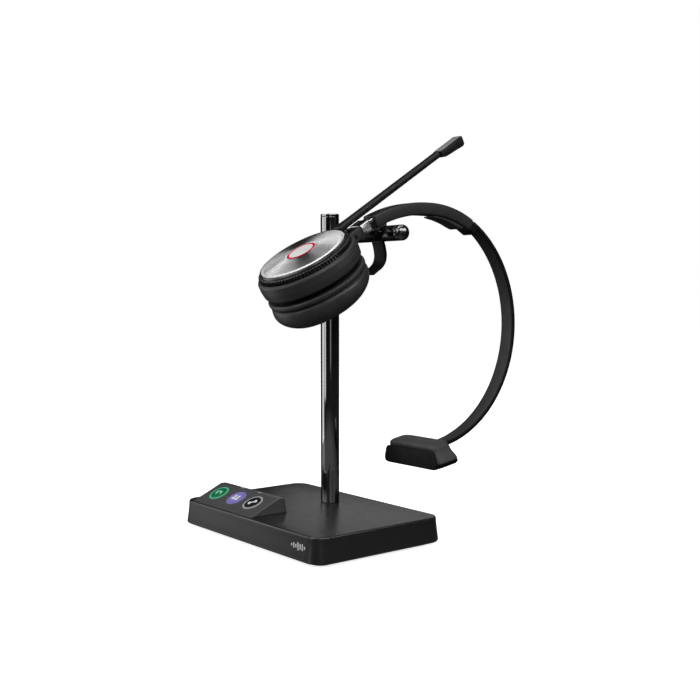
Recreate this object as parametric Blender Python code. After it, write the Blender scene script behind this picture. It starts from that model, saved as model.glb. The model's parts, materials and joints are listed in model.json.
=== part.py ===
"""Mono office headset hanging on its charging stand.

Metres, +Z up. The origin is the middle of the stand's footprint on the desk, X runs along the
stand's long front edge and -Y is the front. The headset hangs on a peg that leaves the post
along +X, so its head band lies in the YZ plane at X = HEADSET_X.
"""
from math import atan2, cos, hypot, pi, radians, sin

import bmesh
import bpy

# ---------------------------------------------------------------- driving dimensions
GAP = 0.0003                      # clearance between pieces that touch

# stand base
BASE_LENGTH = 0.150               # along X
BASE_DEPTH = 0.0985               # along Y
BASE_CORNER = 0.0095
BASE_TOP = 0.01765                # height of the top plate
BASE_FLARE = 0.0015               # how far the walls lean out towards their lower edge
BASE_FLARE_HEIGHT = 0.0030
BASE_SKIRT = 0.0018               # height of the lower edge of the walls
BASE_WALL = 0.0022
MAT_THICKNESS = 0.0012
COVER_THICKNESS = 0.0018
BALLAST_THICKNESS = 0.0050
SCREW_X = 0.062
SCREW_Y = 0.0395
GRILLE_X = -0.0487
GRILLE_Y = 0.0174
GRILLE_PITCH = 0.0038
GRILLE_RINGS = 2
INLET_Z = 0.0127
INLET_X = {"usb_inlet_computer": 0.022, "usb_inlet_desk_phone": 0.042}

# raised control panel
PANEL_LEFT = -0.0645
PANEL_RIGHT = 0.0050
PANEL_FRONT = -0.0483
PANEL_RIDGE_Y = -0.0270           # where the slope meets the level strip behind it
PANEL_RIDGE_Z = 0.0274
PANEL_STRIP = 0.0044              # depth of the level strip
PANEL_BACK = -0.0204
PANEL_WALL = 0.0016
KEY_X = {"left": -0.0518, "middle": -0.0305, "right": -0.0111}
KEY_Y = -0.0358
KEY_RADIUS = 0.0056

# post and peg
POST_X = -0.0046
POST_Y = 0.0219
POST_RADIUS = 0.00615
POST_TOP = 0.2093
POST_WALL = 0.0012
PEG_Z = 0.1941
PEG_RADIUS = 0.0049
PEG_END = 0.0708
PEG_WAIST = 0.0030                # radius of the recess that keeps the head band in place
WAIST_HALF = 0.0056               # half the recess's length

# headset
HEADSET_X = 0.046
CUP_Y = -0.0378                   # middle of the ear cup's outer disc
CUP_Z = 0.1808
CUP_TILT = radians(32.2)          # the arm's slope where it leaves the ear cup
DISC_RADIUS = 0.0271
RING_RADIUS = 0.0294
HOUSING_RADIUS = 0.0321
DISC_DOME = 0.0020                # height of the disc's middle above its rim
CUSHION_DEPTH = 0.0375            # ear side of the cushion below the disc's rim
CRADLE_WIDTH = 0.0110
BAND_WIDTH = 0.0115
FRONT_ARC = (0.0590, 0.1093, 0.1020)     # centre Y, centre Z and mid radius of the front arc
BACK_ARC = (0.0615, 0.1353, 0.0760)      # the same for the back arc; the tops are level
SHELL_HALF = 0.0040               # half of the thick band's thickness
SHELL_START = 26.0                # degrees in front of the top
SHELL_END = -33.0                 # degrees behind the top
LAP_END = -28.5
STRAP_END = -175.0
STRAP_THICKNESS = 0.0025
STRAP_STEP = 0.0006               # the strap's outer face lies this far below the shell's
PAD_START = -2.0
PAD_END = -24.0
SLIDER_INNER = 0.0005             # slider bar's faces, measured from the band's middle line
SLIDER_OUTER = 0.0029
SLIDER_TAIL = 12.0
TBAR_LENGTH = 0.051
TBAR_HINGE = (0.0662, 0.0566)     # Y and Z of the hinge pin
BOOM_LENGTH = 0.1275              # from the disc's middle to the microphone head
MIC_END = 0.1505

ROUND = 32                        # segments of the ear cup's turned pieces


# ---------------------------------------------------------------- materials
def material(name, colour, roughness, metallic=0.0):
    mat = bpy.data.materials.get(name)
    if mat:
        return mat
    mat = bpy.data.materials.new(name)
    mat.use_nodes = True
    shader = mat.node_tree.nodes["Principled BSDF"]
    shader.inputs["Base Color"].default_value = (*colour, 1.0)
    shader.inputs["Roughness"].default_value = roughness
    shader.inputs["Metallic"].default_value = metallic
    return mat


def satin_black():
    return material("satin_black", (0.035, 0.035, 0.037), 0.42)


def gloss_black():
    return material("gloss_black", (0.006, 0.006, 0.007), 0.08)


def soft_black():
    return material("soft_black", (0.022, 0.022, 0.023), 0.60)


def leatherette():
    return material("leatherette", (0.018, 0.018, 0.019), 0.52)


def rubber():
    return material("rubber", (0.02, 0.02, 0.02), 0.85)


def silver():
    return material("silver", (0.62, 0.62, 0.63), 0.30, 1.0)


def steel():
    return material("steel", (0.45, 0.45, 0.46), 0.35, 1.0)


def gold():
    return material("gold", (0.75, 0.55, 0.22), 0.28, 1.0)


def board_green():
    return material("board_green", (0.02, 0.12, 0.06), 0.50)


def red_light():
    return material("red_light", (0.75, 0.03, 0.07), 0.30)


def key_black():
    return material("key_black", (0.020, 0.022, 0.022), 0.35)


def key_light(side):
    tint = {"left": (0.10, 0.62, 0.30), "middle": (0.33, 0.30, 0.72), "right": (0.55, 0.56, 0.58)}
    return material("key_light_" + side, tint[side], 0.30)


# ---------------------------------------------------------------- shape helpers
def empty(name, location, tilt=0.0, parent=None):
    """A frame: moved pieces and the ear cup's pieces are placed from one of these."""
    frame = bpy.data.objects.new(name, None)
    frame.location = location
    frame.rotation_euler = (tilt, 0.0, 0.0)
    frame.parent = parent
    bpy.context.scene.collection.objects.link(frame)
    return frame


def finish(name, bm, mat, frame=None, location=(0.0, 0.0, 0.0), smooth=30.0):
    """Turns a bmesh into a named object in a frame, shaded smooth up to the given angle."""
    bmesh.ops.recalc_face_normals(bm, faces=bm.faces)
    mesh = bpy.data.meshes.new(name)
    bm.to_mesh(mesh)
    bm.free()
    mesh.shade_smooth()
    mesh.set_sharp_from_angle(angle=radians(smooth))
    obj = bpy.data.objects.new(name, mesh)
    obj.location = location
    obj.parent = frame
    if mat:
        mesh.materials.append(mat)
    bpy.context.scene.collection.objects.link(obj)
    return obj


def turned_mesh(profile, segments):
    """Revolves a closed (radius, height) outline about Z; a point at radius 0 is a pole."""
    bm = bmesh.new()
    rings = []
    for radius, height in profile:
        if radius == 0.0:
            rings.append([bm.verts.new((0.0, 0.0, height))])
            continue
        ring = []
        for step in range(segments):
            angle = 2.0 * pi * step / segments
            ring.append(bm.verts.new((radius * cos(angle), radius * sin(angle), height)))
        rings.append(ring)
    for here, there in zip(rings, rings[1:] + rings[:1]):
        for step in range(segments):
            follow = (step + 1) % segments
            corners = [here[step % len(here)], here[follow % len(here)],
                       there[follow % len(there)], there[step % len(there)]]
            face = list(dict.fromkeys(corners))
            if len(face) > 2:
                bm.faces.new(face)
    return bm


def turned(name, profile, mat, frame=None, location=(0.0, 0.0, 0.0), segments=ROUND):
    return finish(name, turned_mesh(profile, segments), mat, frame, location)


def cylinder_profile(radius, low, high, edge=0.0):
    """Outline of a solid cylinder with an optional chamfer on both ends."""
    if edge == 0.0:
        return [(0.0, low), (radius, low), (radius, high), (0.0, high)]
    return [(0.0, low), (radius - edge, low), (radius, low + edge),
            (radius, high - edge), (radius - edge, high), (0.0, high)]


def rod(name, radius, low, high, mat, frame=None, location=(0.0, 0.0, 0.0), segments=16, edge=0.0):
    return turned(name, cylinder_profile(radius, low, high, edge), mat, frame, location, segments)


def prism_mesh(outline, low, high, axis="Z"):
    """Extrudes a closed outline from low to high. Axis X takes (y, z) points, axis Z (x, y)."""
    def place(point, depth):
        if axis == "X":
            return (depth, point[0], point[1])
        if axis == "Y":
            return (point[0], depth, point[1])
        return (point[0], point[1], depth)
    bm = bmesh.new()
    bottom = [bm.verts.new(place(point, low)) for point in outline]
    top = [bm.verts.new(place(point, high)) for point in outline]
    bm.faces.new(bottom)
    bm.faces.new(top)
    for i in range(len(outline)):
        j = (i + 1) % len(outline)
        bm.faces.new((bottom[i], bottom[j], top[j], top[i]))
    return bm


def prism(name, outline, low, high, mat, frame=None, axis="Z", location=(0.0, 0.0, 0.0)):
    return finish(name, prism_mesh(outline, low, high, axis), mat, frame, location)


def block(name, corner_low, corner_high, mat, frame=None):
    (x0, y0, z0), (x1, y1, z1) = corner_low, corner_high
    return prism(name, [(x0, y0), (x1, y0), (x1, y1), (x0, y1)], z0, z1, mat, frame)


def rounded_rectangle(length, depth, corner, centre=(0.0, 0.0), steps=6):
    points = []
    for quarter, (sx, sy) in enumerate(((1, 1), (-1, 1), (-1, -1), (1, -1))):
        cx = centre[0] + sx * (length / 2 - corner)
        cy = centre[1] + sy * (depth / 2 - corner)
        for step in range(steps + 1):
            angle = pi / 2 * (quarter + step / steps)
            points.append((cx + corner * cos(angle), cy + corner * sin(angle)))
    return points


def bevel(obj, width, segments=2, angle=35.0):
    mod = obj.modifiers.new("edge", "BEVEL")
    mod.width = width
    mod.segments = segments
    mod.limit_method = "ANGLE"
    mod.angle_limit = radians(angle)
    return obj


def combine(obj, other, operation):
    """Adds a Boolean with a helper object that itself isn't part of the model."""
    other.hide_render = True
    other.display_type = "WIRE"
    mod = obj.modifiers.new(operation.lower(), "BOOLEAN")
    mod.operation = operation
    mod.object = other
    return obj


def cut(obj, cutter):
    return combine(obj, cutter, "DIFFERENCE")


def join(obj, other):
    return combine(obj, other, "UNION")


def smooth_path(points, steps=5):
    """Catmull-Rom curve through 2-D points."""
    padded = [points[0]] + list(points) + [points[-1]]
    path = []
    for p0, p1, p2, p3 in zip(padded, padded[1:], padded[2:], padded[3:]):
        for step in range(steps):
            t = step / steps
            path.append(tuple(
                0.5 * (2 * b + (c - a) * t + (2 * a - 5 * b + 4 * c - d) * t * t
                       + (3 * b - a - 3 * c + d) * t ** 3)
                for a, b, c, d in zip(p0, p1, p2, p3)))
    path.append(tuple(points[-1]))
    return path


def strip_outline(path, half):
    """Outline of a strip of the given half thickness along a 2-D path."""
    left, right = [], []
    for i, (y, z) in enumerate(path):
        y0, z0 = path[max(i - 1, 0)]
        y1, z1 = path[min(i + 1, len(path) - 1)]
        length = hypot(y1 - y0, z1 - z0)
        ny, nz = -(z1 - z0) / length, (y1 - y0) / length
        left.append((y + ny * half, z + nz * half))
        right.append((y - ny * half, z - nz * half))
    return left + right[::-1]


def band_point(degrees, offset=0.0):
    """Point of the head band's middle line, moved outwards by offset.

    Degrees are measured from the band's top, positive towards the ear cup."""
    cy, cz, radius = FRONT_ARC if degrees > 0.0 else BACK_ARC
    angle = radians(degrees)
    return (cy - (radius + offset) * sin(angle), cz + (radius + offset) * cos(angle))


def band_outline(start, end, outer, inner, step=4.0):
    """Outline of a piece of the head band between two angles and two offsets."""
    count = max(2, round((start - end) / step))
    angles = [start + (end - start) * i / count for i in range(count + 1)]
    return ([band_point(a, outer) for a in angles]
            + [band_point(a, inner) for a in reversed(angles)])


def band_piece(name, outline, width, mat):
    return prism(name, outline, HEADSET_X - width / 2, HEADSET_X + width / 2, mat, axis="X")


# ---------------------------------------------------------------- stand
def screw_places():
    return [(sx * SCREW_X, sy * SCREW_Y) for sx in (-1, 1) for sy in (-1, 1)]


def base_housing():
    """Top plate with four walls, open below, with bosses for the screws."""
    levels = [(BASE_SKIRT, 0.0), (BASE_FLARE_HEIGHT, BASE_FLARE), (BASE_TOP, 0.0)]
    bm = bmesh.new()
    loops = []
    for height, flare in levels:
        outline = rounded_rectangle(BASE_LENGTH + 2 * flare, BASE_DEPTH + 2 * flare,
                                    BASE_CORNER + flare, steps=5)
        loops.append([bm.verts.new((x, y, height)) for x, y in outline])
    bm.faces.new(loops[0])
    bm.faces.new(loops[-1])
    for lower, upper in zip(loops, loops[1:]):
        for i in range(len(lower)):
            j = (i + 1) % len(lower)
            bm.faces.new((lower[i], lower[j], upper[j], upper[i]))
    housing = finish("base_housing", bm, satin_black())
    bevel(housing, 0.0010, 2, 60.0)
    hollow = rounded_rectangle(BASE_LENGTH - 2 * BASE_WALL, BASE_DEPTH - 2 * BASE_WALL,
                               BASE_CORNER - BASE_WALL, steps=4)
    cut(housing, prism("housing_hollow", hollow, 0.0, BASE_TOP - BASE_WALL, None))
    cover_top = MAT_THICKNESS + GAP + COVER_THICKNESS
    for number, (x, y) in enumerate(screw_places(), 1):
        join(housing, rod("boss_%d" % number, 0.0032, cover_top + GAP, BASE_TOP - 0.0010, None,
                          location=(x, y, 0.0), segments=10))
        cut(housing, rod("boss_hole_%d" % number, 0.0013, 0.0, 0.0120, None,
                         location=(x, y, 0.0), segments=8))
    cut(housing, rod("post_hole", 0.0030, BASE_TOP - 0.0040, BASE_TOP + 0.0010, None,
                     location=(POST_X, POST_Y, 0.0)))
    opening = ((PANEL_LEFT + 0.0040, -0.0455, BASE_TOP - 0.0040),
               (PANEL_RIGHT - 0.0040, -0.0250, BASE_TOP + 0.0010))
    cut(housing, block("panel_opening", *opening, None))
    for name, x in INLET_X.items():
        cut(housing, prism(name + "_hole", rounded_rectangle(0.0098, 0.0040, 0.0018,
                                                             (x, INLET_Z), 3),
                           BASE_DEPTH / 2 - 0.0040, BASE_DEPTH / 2 + 0.0010, None, axis="Y"))
    cut(housing, grille_cutter())
    return housing


def grille_cutter():
    """Hexagonal pattern of small sound holes, as one cutter of separate pins."""
    pins = bmesh.new()
    for row in range(-GRILLE_RINGS, GRILLE_RINGS + 1):
        count = 2 * GRILLE_RINGS + 1 - abs(row)
        for column in range(count):
            x = GRILLE_X + GRILLE_PITCH * (column - (count - 1) / 2)
            y = GRILLE_Y + GRILLE_PITCH * row * sin(pi / 3)
            pin = turned_mesh(cylinder_profile(0.00055, BASE_TOP - 0.0040, BASE_TOP + 0.0010), 6)
            bmesh.ops.translate(pin, verts=pin.verts, vec=(x, y, 0.0))
            piece = bpy.data.meshes.new("pin")
            pin.to_mesh(piece)
            pins.from_mesh(piece)
            pin.free()
    return finish("grille_cutter", pins, None)


def base_floor():
    """Anti-slip mat, bottom cover, screws and ballast plate."""
    mat_outline = rounded_rectangle(BASE_LENGTH - 0.010, BASE_DEPTH - 0.010, 0.006)
    prism("anti_slip_mat", mat_outline, 0.0, MAT_THICKNESS, rubber())
    low = MAT_THICKNESS + GAP
    inset = 2 * (BASE_WALL + GAP)
    cover = prism("base_bottom_cover",
                  rounded_rectangle(BASE_LENGTH - inset, BASE_DEPTH - inset,
                                    BASE_CORNER - BASE_WALL - GAP),
                  low, low + COVER_THICKNESS, soft_black())
    head_top = low + 0.0011
    for number, (x, y) in enumerate(screw_places(), 1):
        cut(cover, rod("cover_hole_%d" % number, 0.0013, 0.0, 0.0100, None,
                       location=(x, y, 0.0), segments=10))
        cut(cover, rod("cover_recess_%d" % number, 0.0024, 0.0, head_top + GAP, None,
                       location=(x, y, 0.0), segments=12))
        turned("base_screw_%d" % number,
               [(0.0, low), (0.0021, low), (0.0021, head_top), (0.0010, head_top),
                (0.0010, 0.0105), (0.0, 0.0110)],
               steel(), location=(x, y, 0.0), segments=12)
    ballast_low = low + COVER_THICKNESS + GAP
    ballast = prism("ballast_plate", rounded_rectangle(0.116, 0.070, 0.004, (0.0, 0.004)),
                    ballast_low, ballast_low + BALLAST_THICKNESS, steel())
    cut(ballast, rod("ballast_hole", 0.0060, 0.0, 0.02, None, location=(POST_X, POST_Y, 0.0)))


def base_electronics():
    """Circuit board, ringer loudspeaker and the two inlets in the back wall."""
    board_low = 0.0092
    board = block("base_circuit_board", (-0.030, -0.020, board_low), (0.058, 0.046, 0.0106),
                  board_green())
    cut(board, rod("board_hole", 0.0075, 0.0, 0.02, None, location=(POST_X, POST_Y, 0.0)))
    top = BASE_TOP - BASE_WALL - GAP
    turned("loudspeaker", [(0.0, 0.0094), (0.0055, 0.0094), (0.0055, 0.0110), (0.0115, 0.0124),
                           (0.0125, 0.0135), (0.0125, top), (0.0115, top), (0.0105, top - 0.0008),
                           (0.0, top - 0.0014)],
           soft_black(), location=(GRILLE_X, GRILLE_Y, 0.0), segments=28)
    wall = BASE_DEPTH / 2
    for name, x in INLET_X.items():
        inlet = prism(name, rounded_rectangle(0.0090, 0.0032, 0.0014, (x, INLET_Z), 3),
                      wall - 0.0075, wall - 0.0006, steel(), axis="Y")
        cut(inlet, prism(name + "_mouth", rounded_rectangle(0.0082, 0.0024, 0.0011,
                                                            (x, INLET_Z), 3),
                         wall - 0.0060, wall + 0.0010, None, axis="Y"))


def panel_outline(inset=0.0):
    """Side outline of the raised panel; a positive inset gives its hollow."""
    strip_end = PANEL_RIDGE_Y + PANEL_STRIP
    if inset == 0.0:
        low = BASE_TOP + GAP
        return [(PANEL_FRONT, low), (PANEL_BACK, low), (strip_end + 0.0005, PANEL_RIDGE_Z - 0.0006),
                (strip_end, PANEL_RIDGE_Z), (PANEL_RIDGE_Y, PANEL_RIDGE_Z)]
    low = BASE_TOP - 0.001
    return [(PANEL_FRONT + inset / sin(panel_slope()) + 0.0004, low),
            (PANEL_BACK - 1.2 * inset, low), (strip_end - 0.8 * inset, PANEL_RIDGE_Z - inset),
            (PANEL_RIDGE_Y + 0.3 * inset, PANEL_RIDGE_Z - inset)]


def panel_slope():
    return atan2(PANEL_RIDGE_Z - BASE_TOP, PANEL_RIDGE_Y - PANEL_FRONT)


def control_panel():
    """Raised cover with three keys, each in a ring of light, over its own small board."""
    panel = prism("control_panel", panel_outline(), PANEL_LEFT, PANEL_RIGHT, satin_black(),
                  axis="X")
    bevel(panel, 0.0005, 1, 50.0)
    cut(panel, prism("panel_hollow", panel_outline(PANEL_WALL), PANEL_LEFT + PANEL_WALL,
                     PANEL_RIGHT - PANEL_WALL, None, axis="X"))
    slope = panel_slope()
    key_z = BASE_TOP + (KEY_Y - PANEL_FRONT) * (PANEL_RIDGE_Z - BASE_TOP) / (
        PANEL_RIDGE_Y - PANEL_FRONT)
    for side, x in KEY_X.items():
        frame = empty(side + "_key_frame", (x, KEY_Y, key_z), slope)
        cut(panel, rod(side + "_key_hole", 0.0071, -0.0060, 0.0020, None, frame, segments=28))
        turned(side + "_key_light_ring",
               [(KEY_RADIUS + GAP, -0.0022), (0.0068, -0.0022), (0.0068, 0.0001),
                (0.0066, 0.0002), (KEY_RADIUS + GAP, 0.0002)],
               key_light(side), frame, segments=28)
        turned(side + "_key",
               [(0.0, -0.0036), (0.0018, -0.0036), (0.0018, -0.0018), (KEY_RADIUS, -0.0018),
                (KEY_RADIUS, 0.0002), (KEY_RADIUS - 0.0003, 0.0004), (0.0, 0.0004)],
               key_black(), frame, segments=28)
    frame = empty("panel_board_frame", ((PANEL_LEFT + PANEL_RIGHT) / 2, KEY_Y, key_z), slope)
    block("panel_circuit_board", (-0.0295, -0.0068, -0.0058), (0.0295, 0.0062, -0.0048),
          board_green(), frame)


def post():
    """Tube with a closed foot, its cap, and the bolt and washer that hold it from below."""
    low = BASE_TOP + GAP
    bore = POST_RADIUS - POST_WALL
    top = POST_TOP - 0.0020
    tube = turned("post_tube",
                  [(0.0, low + 0.0100), (bore, low + 0.0100), (bore, top), (POST_RADIUS, top),
                   (POST_RADIUS, low), (0.0, low)],
                  gloss_black(), location=(POST_X, POST_Y, 0.0), segments=36)
    cut(tube, rod("post_thread", 0.0023, 0.0, low + 0.0070, None, location=(POST_X, POST_Y, 0.0)))
    cut(tube, rod("peg_hole", 0.0023, 0.0, 0.02, None, peg_frame(), segments=12))
    turned("post_cap",
           [(0.0, top - 0.0040), (bore - GAP, top - 0.0040), (bore - GAP, top + GAP),
            (POST_RADIUS, top + GAP), (POST_RADIUS, POST_TOP - 0.0006),
            (POST_RADIUS - 0.0006, POST_TOP), (0.0, POST_TOP)],
           gloss_black(), location=(POST_X, POST_Y, 0.0), segments=36)
    washer_top = BASE_TOP - BASE_WALL - GAP
    turned("post_washer",
           [(0.0023, washer_top - 0.0010), (0.0058, washer_top - 0.0010), (0.0058, washer_top),
            (0.0023, washer_top)],
           steel(), location=(POST_X, POST_Y, 0.0), segments=24)
    head_top = washer_top - 0.0010 - GAP
    turned("post_bolt",
           [(0.0, head_top - 0.0028), (0.0042, head_top - 0.0028), (0.0042, head_top),
            (0.0020, head_top), (0.0020, low + 0.0060), (0.0, low + 0.0065)],
           steel(), location=(POST_X, POST_Y, 0.0), segments=6)


def peg_frame():
    """Frame whose Z runs along the peg, from the post's axis towards +X."""
    frame = bpy.data.objects.get("peg_frame") or empty("peg_frame", (POST_X, POST_Y, PEG_Z))
    frame.rotation_euler = (0.0, pi / 2, 0.0)
    return frame


def peg():
    """Peg with a stud through the post's wall, a nut inside the tube and a domed end cap."""
    frame = peg_frame()
    start = POST_RADIUS + GAP
    cap = PEG_END - POST_X - 0.0065
    end = PEG_END - POST_X
    middle = HEADSET_X - POST_X
    turned("hanger_peg",
           [(0.0, 0.0010), (0.0020, 0.0010), (0.0020, start), (PEG_RADIUS - 0.0003, start),
            (PEG_RADIUS, start + 0.0003), (PEG_RADIUS, middle - WAIST_HALF),
            (PEG_WAIST, middle - WAIST_HALF), (PEG_WAIST, middle + WAIST_HALF),
            (PEG_RADIUS, middle + WAIST_HALF), (PEG_RADIUS, cap), (0.0, cap)],
           gloss_black(), frame, segments=32)
    turned("peg_end_cap",
           [(0.0, cap + GAP), (PEG_RADIUS, cap + GAP), (PEG_RADIUS, end - 0.0024),
            (0.0047, end - 0.0013), (0.0041, end - 0.0005), (0.0031, end), (0.0, end)],
           gloss_black(), frame, segments=32)
    turned("peg_nut", [(0.0023, 0.0012), (0.0033, 0.0012), (0.0033, 0.0031), (0.0023, 0.0031)],
           steel(), frame, segments=6)


def arc_points(radius, start, end, steps):
    """Points round the peg's axis; degrees are measured from +Y towards +Z."""
    return [(POST_Y + radius * cos(radians(start + (end - start) * i / steps)),
             PEG_Z + radius * sin(radians(start + (end - start) * i / steps)))
            for i in range(steps + 1)]


def charging_cradle():
    """Hook clipped round the lower half of the peg: a lip in front and a curved tongue below."""
    clip = (arc_points(PEG_WAIST + GAP, 168.0, 352.0, 14)
            + arc_points(PEG_RADIUS, 352.0, 168.0, 14))
    x_low, x_high = HEADSET_X - CRADLE_WIDTH / 2, HEADSET_X + CRADLE_WIDTH / 2
    cradle = prism("charging_cradle", clip, x_low, x_high, soft_black(), axis="X")
    lip = [(0.0136, 0.1912), (0.0180, 0.1906), (0.0180, 0.1950), (0.0136, 0.1950)]
    join(cradle, prism("cradle_lip", lip, x_low + 0.00004, x_high - 0.00004, None, axis="X"))
    tongue = smooth_path([(0.0203, 0.1903), (0.0219, 0.1856), (0.0227, 0.1808), (0.0219, 0.1768),
                          (0.0196, 0.1737), (0.0160, 0.1713), (0.0123, 0.1688)], 4)
    join(cradle, prism("cradle_tongue", strip_outline(tongue, 0.0009),
                       x_low + 0.00007, x_high - 0.00007, None, axis="X"))
    for number, x in enumerate((HEADSET_X - 0.003, HEADSET_X + 0.003), 1):
        place = (x, 0.0171, 0.0)
        cut(cradle, rod("pin_hole_%d" % number, 0.0009, 0.1925, 0.1960, None,
                        location=place, segments=10))
        rod("charging_pin_%d" % number, 0.0006, 0.1928, 0.1953, gold(), location=place,
            segments=10)


# ---------------------------------------------------------------- head band
def headband():
    """Thick shell, inner pad and the thin strap that runs round to the T-bar."""
    strap_outer = SHELL_HALF - STRAP_STEP
    strap_inner = strap_outer - STRAP_THICKNESS
    shell_lap = [band_point(LAP_END, strap_inner - GAP), band_point(SHELL_END, strap_inner - GAP)]
    outer = band_outline(SHELL_START, LAP_END, SHELL_HALF, SHELL_HALF)
    outer = outer[:len(outer) // 2]
    inner = band_outline(SHELL_START, SHELL_END, -SHELL_HALF, -SHELL_HALF)
    inner = inner[len(inner) // 2:]
    shell = band_piece("headband_shell", outer + shell_lap + inner, BAND_WIDTH, soft_black())
    bevel(shell, 0.0010, 2)
    slot = band_outline(SHELL_START + 2.0, SLIDER_TAIL - 0.6, SLIDER_OUTER + GAP,
                        SLIDER_INNER - GAP)
    cut(shell, band_piece("slider_slot", slot, 0.0086, None))
    pad = band_outline(PAD_START, PAD_END, -SHELL_HALF - GAP, -SHELL_HALF - 0.0030)
    bevel(band_piece("headband_pad", pad, BAND_WIDTH - 0.0010, leatherette()), 0.0010, 2)
    strap = band_piece("headband_strap",
                       band_outline(LAP_END - 0.3, STRAP_END, strap_outer, strap_inner),
                       BAND_WIDTH - 0.0010, soft_black())
    bevel(strap, 0.0005, 1)
    barrel = tbar_frame()
    join(strap, rod("strap_barrel", 0.0026, -0.0052, 0.0052, None, barrel, segments=20))
    cut(strap, rod("strap_bore", 0.0013, -0.0100, 0.0100, None, barrel, segments=12))


def contact_block():
    """Block under the band's front end that stands over the peg and the charging pins."""
    top = band_outline(SHELL_START - 0.3, 21.4, -SHELL_HALF - GAP, -SHELL_HALF - GAP, 1.5)
    top = top[:len(top) // 2]
    under = [(top[-1][0], 0.1980), (0.0206, 0.1978), (0.0186, 0.1962), (top[0][0], 0.1959)]
    outline = top + under
    bevel(band_piece("headband_contact_block", outline, 0.0080, soft_black()), 0.0003, 1)


def slider_and_knuckle(cup):
    """Slider bar in the band's slot, the swivel pin, and the forked knuckle of the ear cup."""
    bar = band_piece("slider_bar",
                     band_outline(32.3, SLIDER_TAIL, SLIDER_OUTER, SLIDER_INNER, 3.0),
                     0.0080, silver())
    end_block = block("slider_end", (-0.0052, 0.0427, -0.0142), (0.0052, 0.0512, -0.0066), None,
                      cup)
    join(bar, end_block)
    swivel = empty("swivel_frame", (0.0, 0.0, -0.0106), 0.0, cup)
    swivel.rotation_euler = (-pi / 2, 0.0, 0.0)
    cut(bar, rod("slider_bore", 0.0018, 0.030, 0.050, None, swivel, segments=14))
    rod("swivel_pin", 0.0015, 0.0399, 0.0458, steel(), swivel, segments=14)
    knuckle = block("knuckle", (-0.0055, 0.0330, -0.0143), (0.0055, 0.0424, -0.0068),
                    soft_black(), cup)
    bevel(knuckle, 0.0009, 2)
    cut(knuckle, block("knuckle_slot", (-0.0028, 0.0300, -0.0200), (0.0028, 0.0392, 0.0), None,
                       cup))
    tilt = tilt_frame(cup)
    cut(knuckle, rod("knuckle_pin_hole", 0.0013, -0.0080, 0.0080, None, tilt, segments=12))
    cut(knuckle, rod("knuckle_bore", 0.0018, 0.0390, 0.0500, None, swivel, segments=14))
    rod("tilt_pin", 0.0010, -0.0053, 0.0053, steel(), tilt, segments=12)


def tilt_frame(cup):
    """Frame on the ear cup's tilt axis, Z along X."""
    frame = bpy.data.objects.get("tilt_frame")
    if frame is None:
        frame = empty("tilt_frame", (0.0, 0.0362, -0.0106), 0.0, cup)
        frame.rotation_euler = (0.0, pi / 2, 0.0)
    return frame


def tbar_frame():
    """Frame on the T-bar's hinge, Z along X."""
    frame = bpy.data.objects.get("tbar_frame")
    if frame is None:
        frame = empty("tbar_frame", (HEADSET_X, *TBAR_HINGE))
        frame.rotation_euler = (0.0, pi / 2, 0.0)
    return frame


def tbar():
    """Bar across the strap's lower end, with a pad on the side that meets the head."""
    half = TBAR_LENGTH / 2
    housing_outline = [(0.0482, 0.0452), (0.0672, 0.0492), (0.0690, 0.0516), (0.0655, 0.0579),
                       (0.0484, 0.0550), (0.0474, 0.0505)]
    middle = HEADSET_X - 0.0008
    housing = prism("tbar_housing", housing_outline, middle - half, middle + half,
                    soft_black(), axis="X")
    bevel(housing, 0.0022, 3)
    slot = [(0.0625, 0.0700), (0.0620, 0.0552), (0.0640, 0.0530), (0.0672, 0.0528),
            (0.0800, 0.0552), (0.0800, 0.0700)]
    strap_slot = prism("tbar_slot", slot, HEADSET_X - 0.0056, HEADSET_X + 0.0056, None, axis="X")
    cut(housing, strap_slot)
    hinge = tbar_frame()
    cut(housing, rod("tbar_pin_hole", 0.0013, -0.0110, 0.0110, None, hinge, segments=12))
    rod("tbar_hinge_pin", 0.0010, -0.0100, 0.0100, steel(), hinge, segments=12)
    pad_outline = [(0.0487, 0.0554), (0.0645, 0.0581), (0.0636, 0.0617), (0.0560, 0.0628),
                   (0.0505, 0.0614), (0.0482, 0.0592)]
    pad = prism("tbar_pad", pad_outline, middle - half + 0.001, middle + half - 0.001,
                leatherette(), axis="X")
    bevel(pad, 0.0006, 1)
    cut(pad, strap_slot)


# ---------------------------------------------------------------- ear cup (in the cup's frame)
def dome_height(radius):
    """Height of the domed disc above its rim."""
    return DISC_DOME * (1.0 - (radius / DISC_RADIUS) ** 2)


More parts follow.
